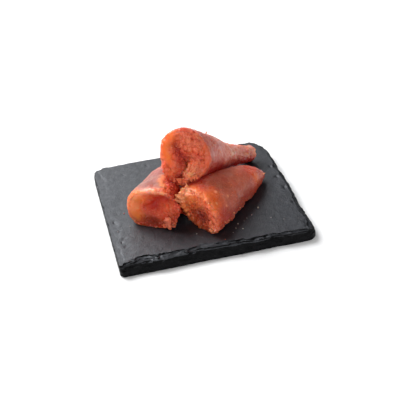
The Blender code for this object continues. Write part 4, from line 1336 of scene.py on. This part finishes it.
roe_mat = roe_material("roe_sac", 0.0025, 0.95, 0.36)
wisp_mat = roe_material("roe_wisp", 0.0002, 0.25, 0.14)
egg_mat = egg_material("roe_egg", False)
loose_mat = egg_material("loose_egg", True)

shapes = {name: build_sac(name) for name in SACS}
order = list(SACS)                      # right, top, left: firmest first
for i, soft in enumerate(order):
    for firm in order[:i]:
        press_clear(shapes[soft], shapes[firm], tree_of(shapes[firm]), 0.06)

trees = {name: tree_of(shapes[name]) for name in order}
for name, strength in (("mentaiko_left", 1.25), ("mentaiko_top", 1.05), ("mentaiko_right", 1.05)):
    for other in order:
        if other != name:
            contact_shade(shapes[name], shapes[other], trees[other], strength)

for name, shape in shapes.items():
    # The torn edge of the skin shows pale in places.
    amount = {"mentaiko_right": 0.30, "mentaiko_top": 0.30, "mentaiko_left": 0.30}[name]
    around = 0.5 + 0.5 * ripple(shape["angle"], shape["seed"] + 5, (2, 3, 5, 7), 0.3)
    shape["rim_pale"] = np.clip(shape["rim"] * amount * around, 0, 1)
    obj = sac_object(shape, roe_mat)
    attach(obj, "root")
    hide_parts(name)

found = [proud_eggs(shapes[name], shapes[name]["seed"]) for name in order]
places, radii, squash, shade = (np.concatenate([f[k] for f in found]) for k in range(4))
eggs = scatter_balls("roe_eggs", places, radii, squash, 3, egg_mat, shade)
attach(eggs, "root")

# Wisps of torn roe and membrane.
wisps = [((-9.8, -20.8, 22.8), (-0.86, -0.30, 0.34), 3.9, 3.9, (0, 0, 0.2), 1.0),
         ((-10.0, -20.9, 21.0), (-0.94, -0.30, 0.14), 5.6, 3.9, (0, 0, 0.2), 1.0),
         ((-10.2, -20.8, 19.3), (-0.95, -0.28, -0.05), 4.6, 4.1, (0, 0, 0.15), 1.0),
         ((-12.8, -21.6, 20.0), (-0.95, -0.2, -0.10), 3.6, 1.8, (0, 0, 0.4), 1.0),
         ((-12.6, -21.6, 22.4), (-0.84, -0.2, 0.52), 2.6, 1.7, (-0.3, 0, 0.1), 1.0),
         ((-13.6, -21.6, 21.2), (-0.95, -0.1, 0.22), 2.7, 1.5, (0, 0, -0.2), 0.9),
         ((-4.2, -16.4, 29.4), (0.10, -0.30, -1.0), 2.4, 1.5, (0.1, 0, 0), 0.45),
         ((-12.1, -14.4, 28.8), (0.15, -0.30, -1.0), 2.6, 1.4, (0, 0, 0), 0.4),
         ((-7.4, -15.9, 28.9), (-0.1, -0.30, -1.0), 2.2, 1.4, (0, 0, 0), 0.35),
         ((-9.4, -20.8, 24.2), (-0.55, -0.20, 0.80), 2.0, 3.0, (-0.3, 0, 0.2), 1.0),
         ((-9.2, -21.6, 17.4), (-0.95, -0.18, -0.06), 4.6, 5.0, (0, 0, 0), -1),
         ((-9.0, -21.8, 14.8), (-0.88, -0.20, -0.28), 3.8, 4.8, (0, 0, 0), -1),
         ((-8.4, -22.0, 12.4), (-0.75, -0.25, -0.45), 3.0, 4.0, (0, 0, 0), -1),
         ((-8.6, -19.6, 25.4), (-0.35, 0.10, 0.90), 1.6, 2.0, (0, 0, 0), 0.9),
         ((-8.6, -15.4, 28.6), (0.05, -0.25, -1.0), 4.4, 1.1, (0.05, 0, 0), 0.80),
         ((-9.5, -15.2, 28.8), (0.20, -0.25, -1.0), 3.0, 1.4, (0, 0, 0), 0.45),
         ((-10.8, -14.8, 28.6), (-0.2, -0.25, -1.0), 2.8, 1.35, (0, 0, 0), 0.35),
         ((-6.2, -16.0, 28.8), (0.2, -0.25, -1.0), 2.7, 1.35, (0.1, 0, 0), 0.50),
         ((-5.2, -16.2, 29.1), (-0.2, -0.30, -1.0), 2.2, 1.4, (0, 0, 0), 0.30),
         ((-2.9, -16.6, 29.8), (0.2, -0.30, -1.0), 2.2, 1.4, (0, 0, 0), 0.40),
         ((-13.4, -13.2, 28.6), (-0.3, -0.30, -1.0), 2.4, 1.6, (0, 0, 0), 0.2),
         ((-1.9, -5.0, 50.2), (0.1, 0.0, 1.0), 0.85, 0.8, (0.2, 0, 0), 0.8),
         ((7.3, -0.4, 43.6), (0.2, 0.1, 1.0), 1.5, 0.8, (0.3, 0, 0), 0.9),
         ((13.6, 2.4, 36.4), (0.1, 0.2, 1.0), 1.3, 0.8, (-0.2, 0, 0), 0.9),
         ((-21.0, -23.9, 12.4), (0.12, -0.70, -0.78), 5.2, 4.2, (0, 0, -0.1), 0.22),
         ((-19.4, -24.3, 10.6), (0.30, -0.70, -0.70), 3.6, 3.0, (0, 0, -0.1), 0.12),
         ((-20.9, -24.4, 8.8), (0.15, -0.85, -0.5), 3.0, 3.2, (0, 0, 0), 0.20),
         ((-22.8, -23.6, 8.4), (-0.2, -0.9, -0.4), 2.0, 2.4, (0, 0, 0), 0.3),
         ((-18.6, -25.2, 9.0), (0.3, -0.7, -0.6), 1.8, 2.0, (0, 0, 0), 0.3),
         ((6.0, -34.6, 11.2), (0.5, -0.75, -0.35), 1.6, 0.9, (0, 0, -0.1), 0.9),
         ((8.4, -33.0, 10.6), (0.6, -0.75, -0.3), 1.4, 0.9, (0, 0, -0.1), 0.8),
         ((12.2, -28.4, 11.5), (0.6, -0.7, -0.3), 1.5, 1.0, (0, 0, 0.1), 0.8),
         ((16.8, -24.2, 10.8), (0.6, -0.7, -0.3), 1.3, 0.9, (0, 0, 0.1), 0.7),
         ((36.8, 1.2, 12.4), (0.9, -0.1, 0.35), 1.5, 1.0, (0, 0, 0.2), 0.9),
         ((0.2, -38.4, 10.2), (0.1, -0.5, -0.8), 1.4, 2.4, (0, 0, 0), 0.9),
         ((-1.6, -37.6, 9.4), (-0.2, -0.7, -0.6), 1.1, 1.8, (0, 0, 0), 0.9)]
wisp = shreds_object("torn_wisps", wisps, wisp_mat)
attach(wisp, "root")

# Loose eggs and crumbs on the slate.
rng = np.random.default_rng(21)
spots = [(27.3, -21.6), (14.7, -38.0), (13.5, -32.7), (3.9, -44.0), (-46.4, -18.8), (-40.6, -2.6), (-39.6, -15.6),
         (17.2, -31.0), (11.5, -36.2), (19.2, -29.0), (36.8, -36.3), (22.4, -27.0), (-8.5, -34.5), (9.2, -39.5), (31.0, -33.0)]
places, radii = [], []
for x, y in spots:
    r = rng.uniform(0.15, 0.30)
    if len(places) < 3:
        r = 0.42 - 0.05 * len(places)
    places.append((x, y, BOARD_THICK - 0.1 + r * 0.8))
    radii.append(r)
loose = scatter_balls("loose_eggs", np.array(places), np.array(radii), rng.uniform(0, 0.3, len(radii)), 5,
                      loose_mat, rng.uniform(0.2, 1.0, len(radii)), level=3)
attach(loose, "root")

faces = {o.name: len(o.data.polygons) for o in bpy.data.objects if o.type == "MESH"}
print("faces", faces)
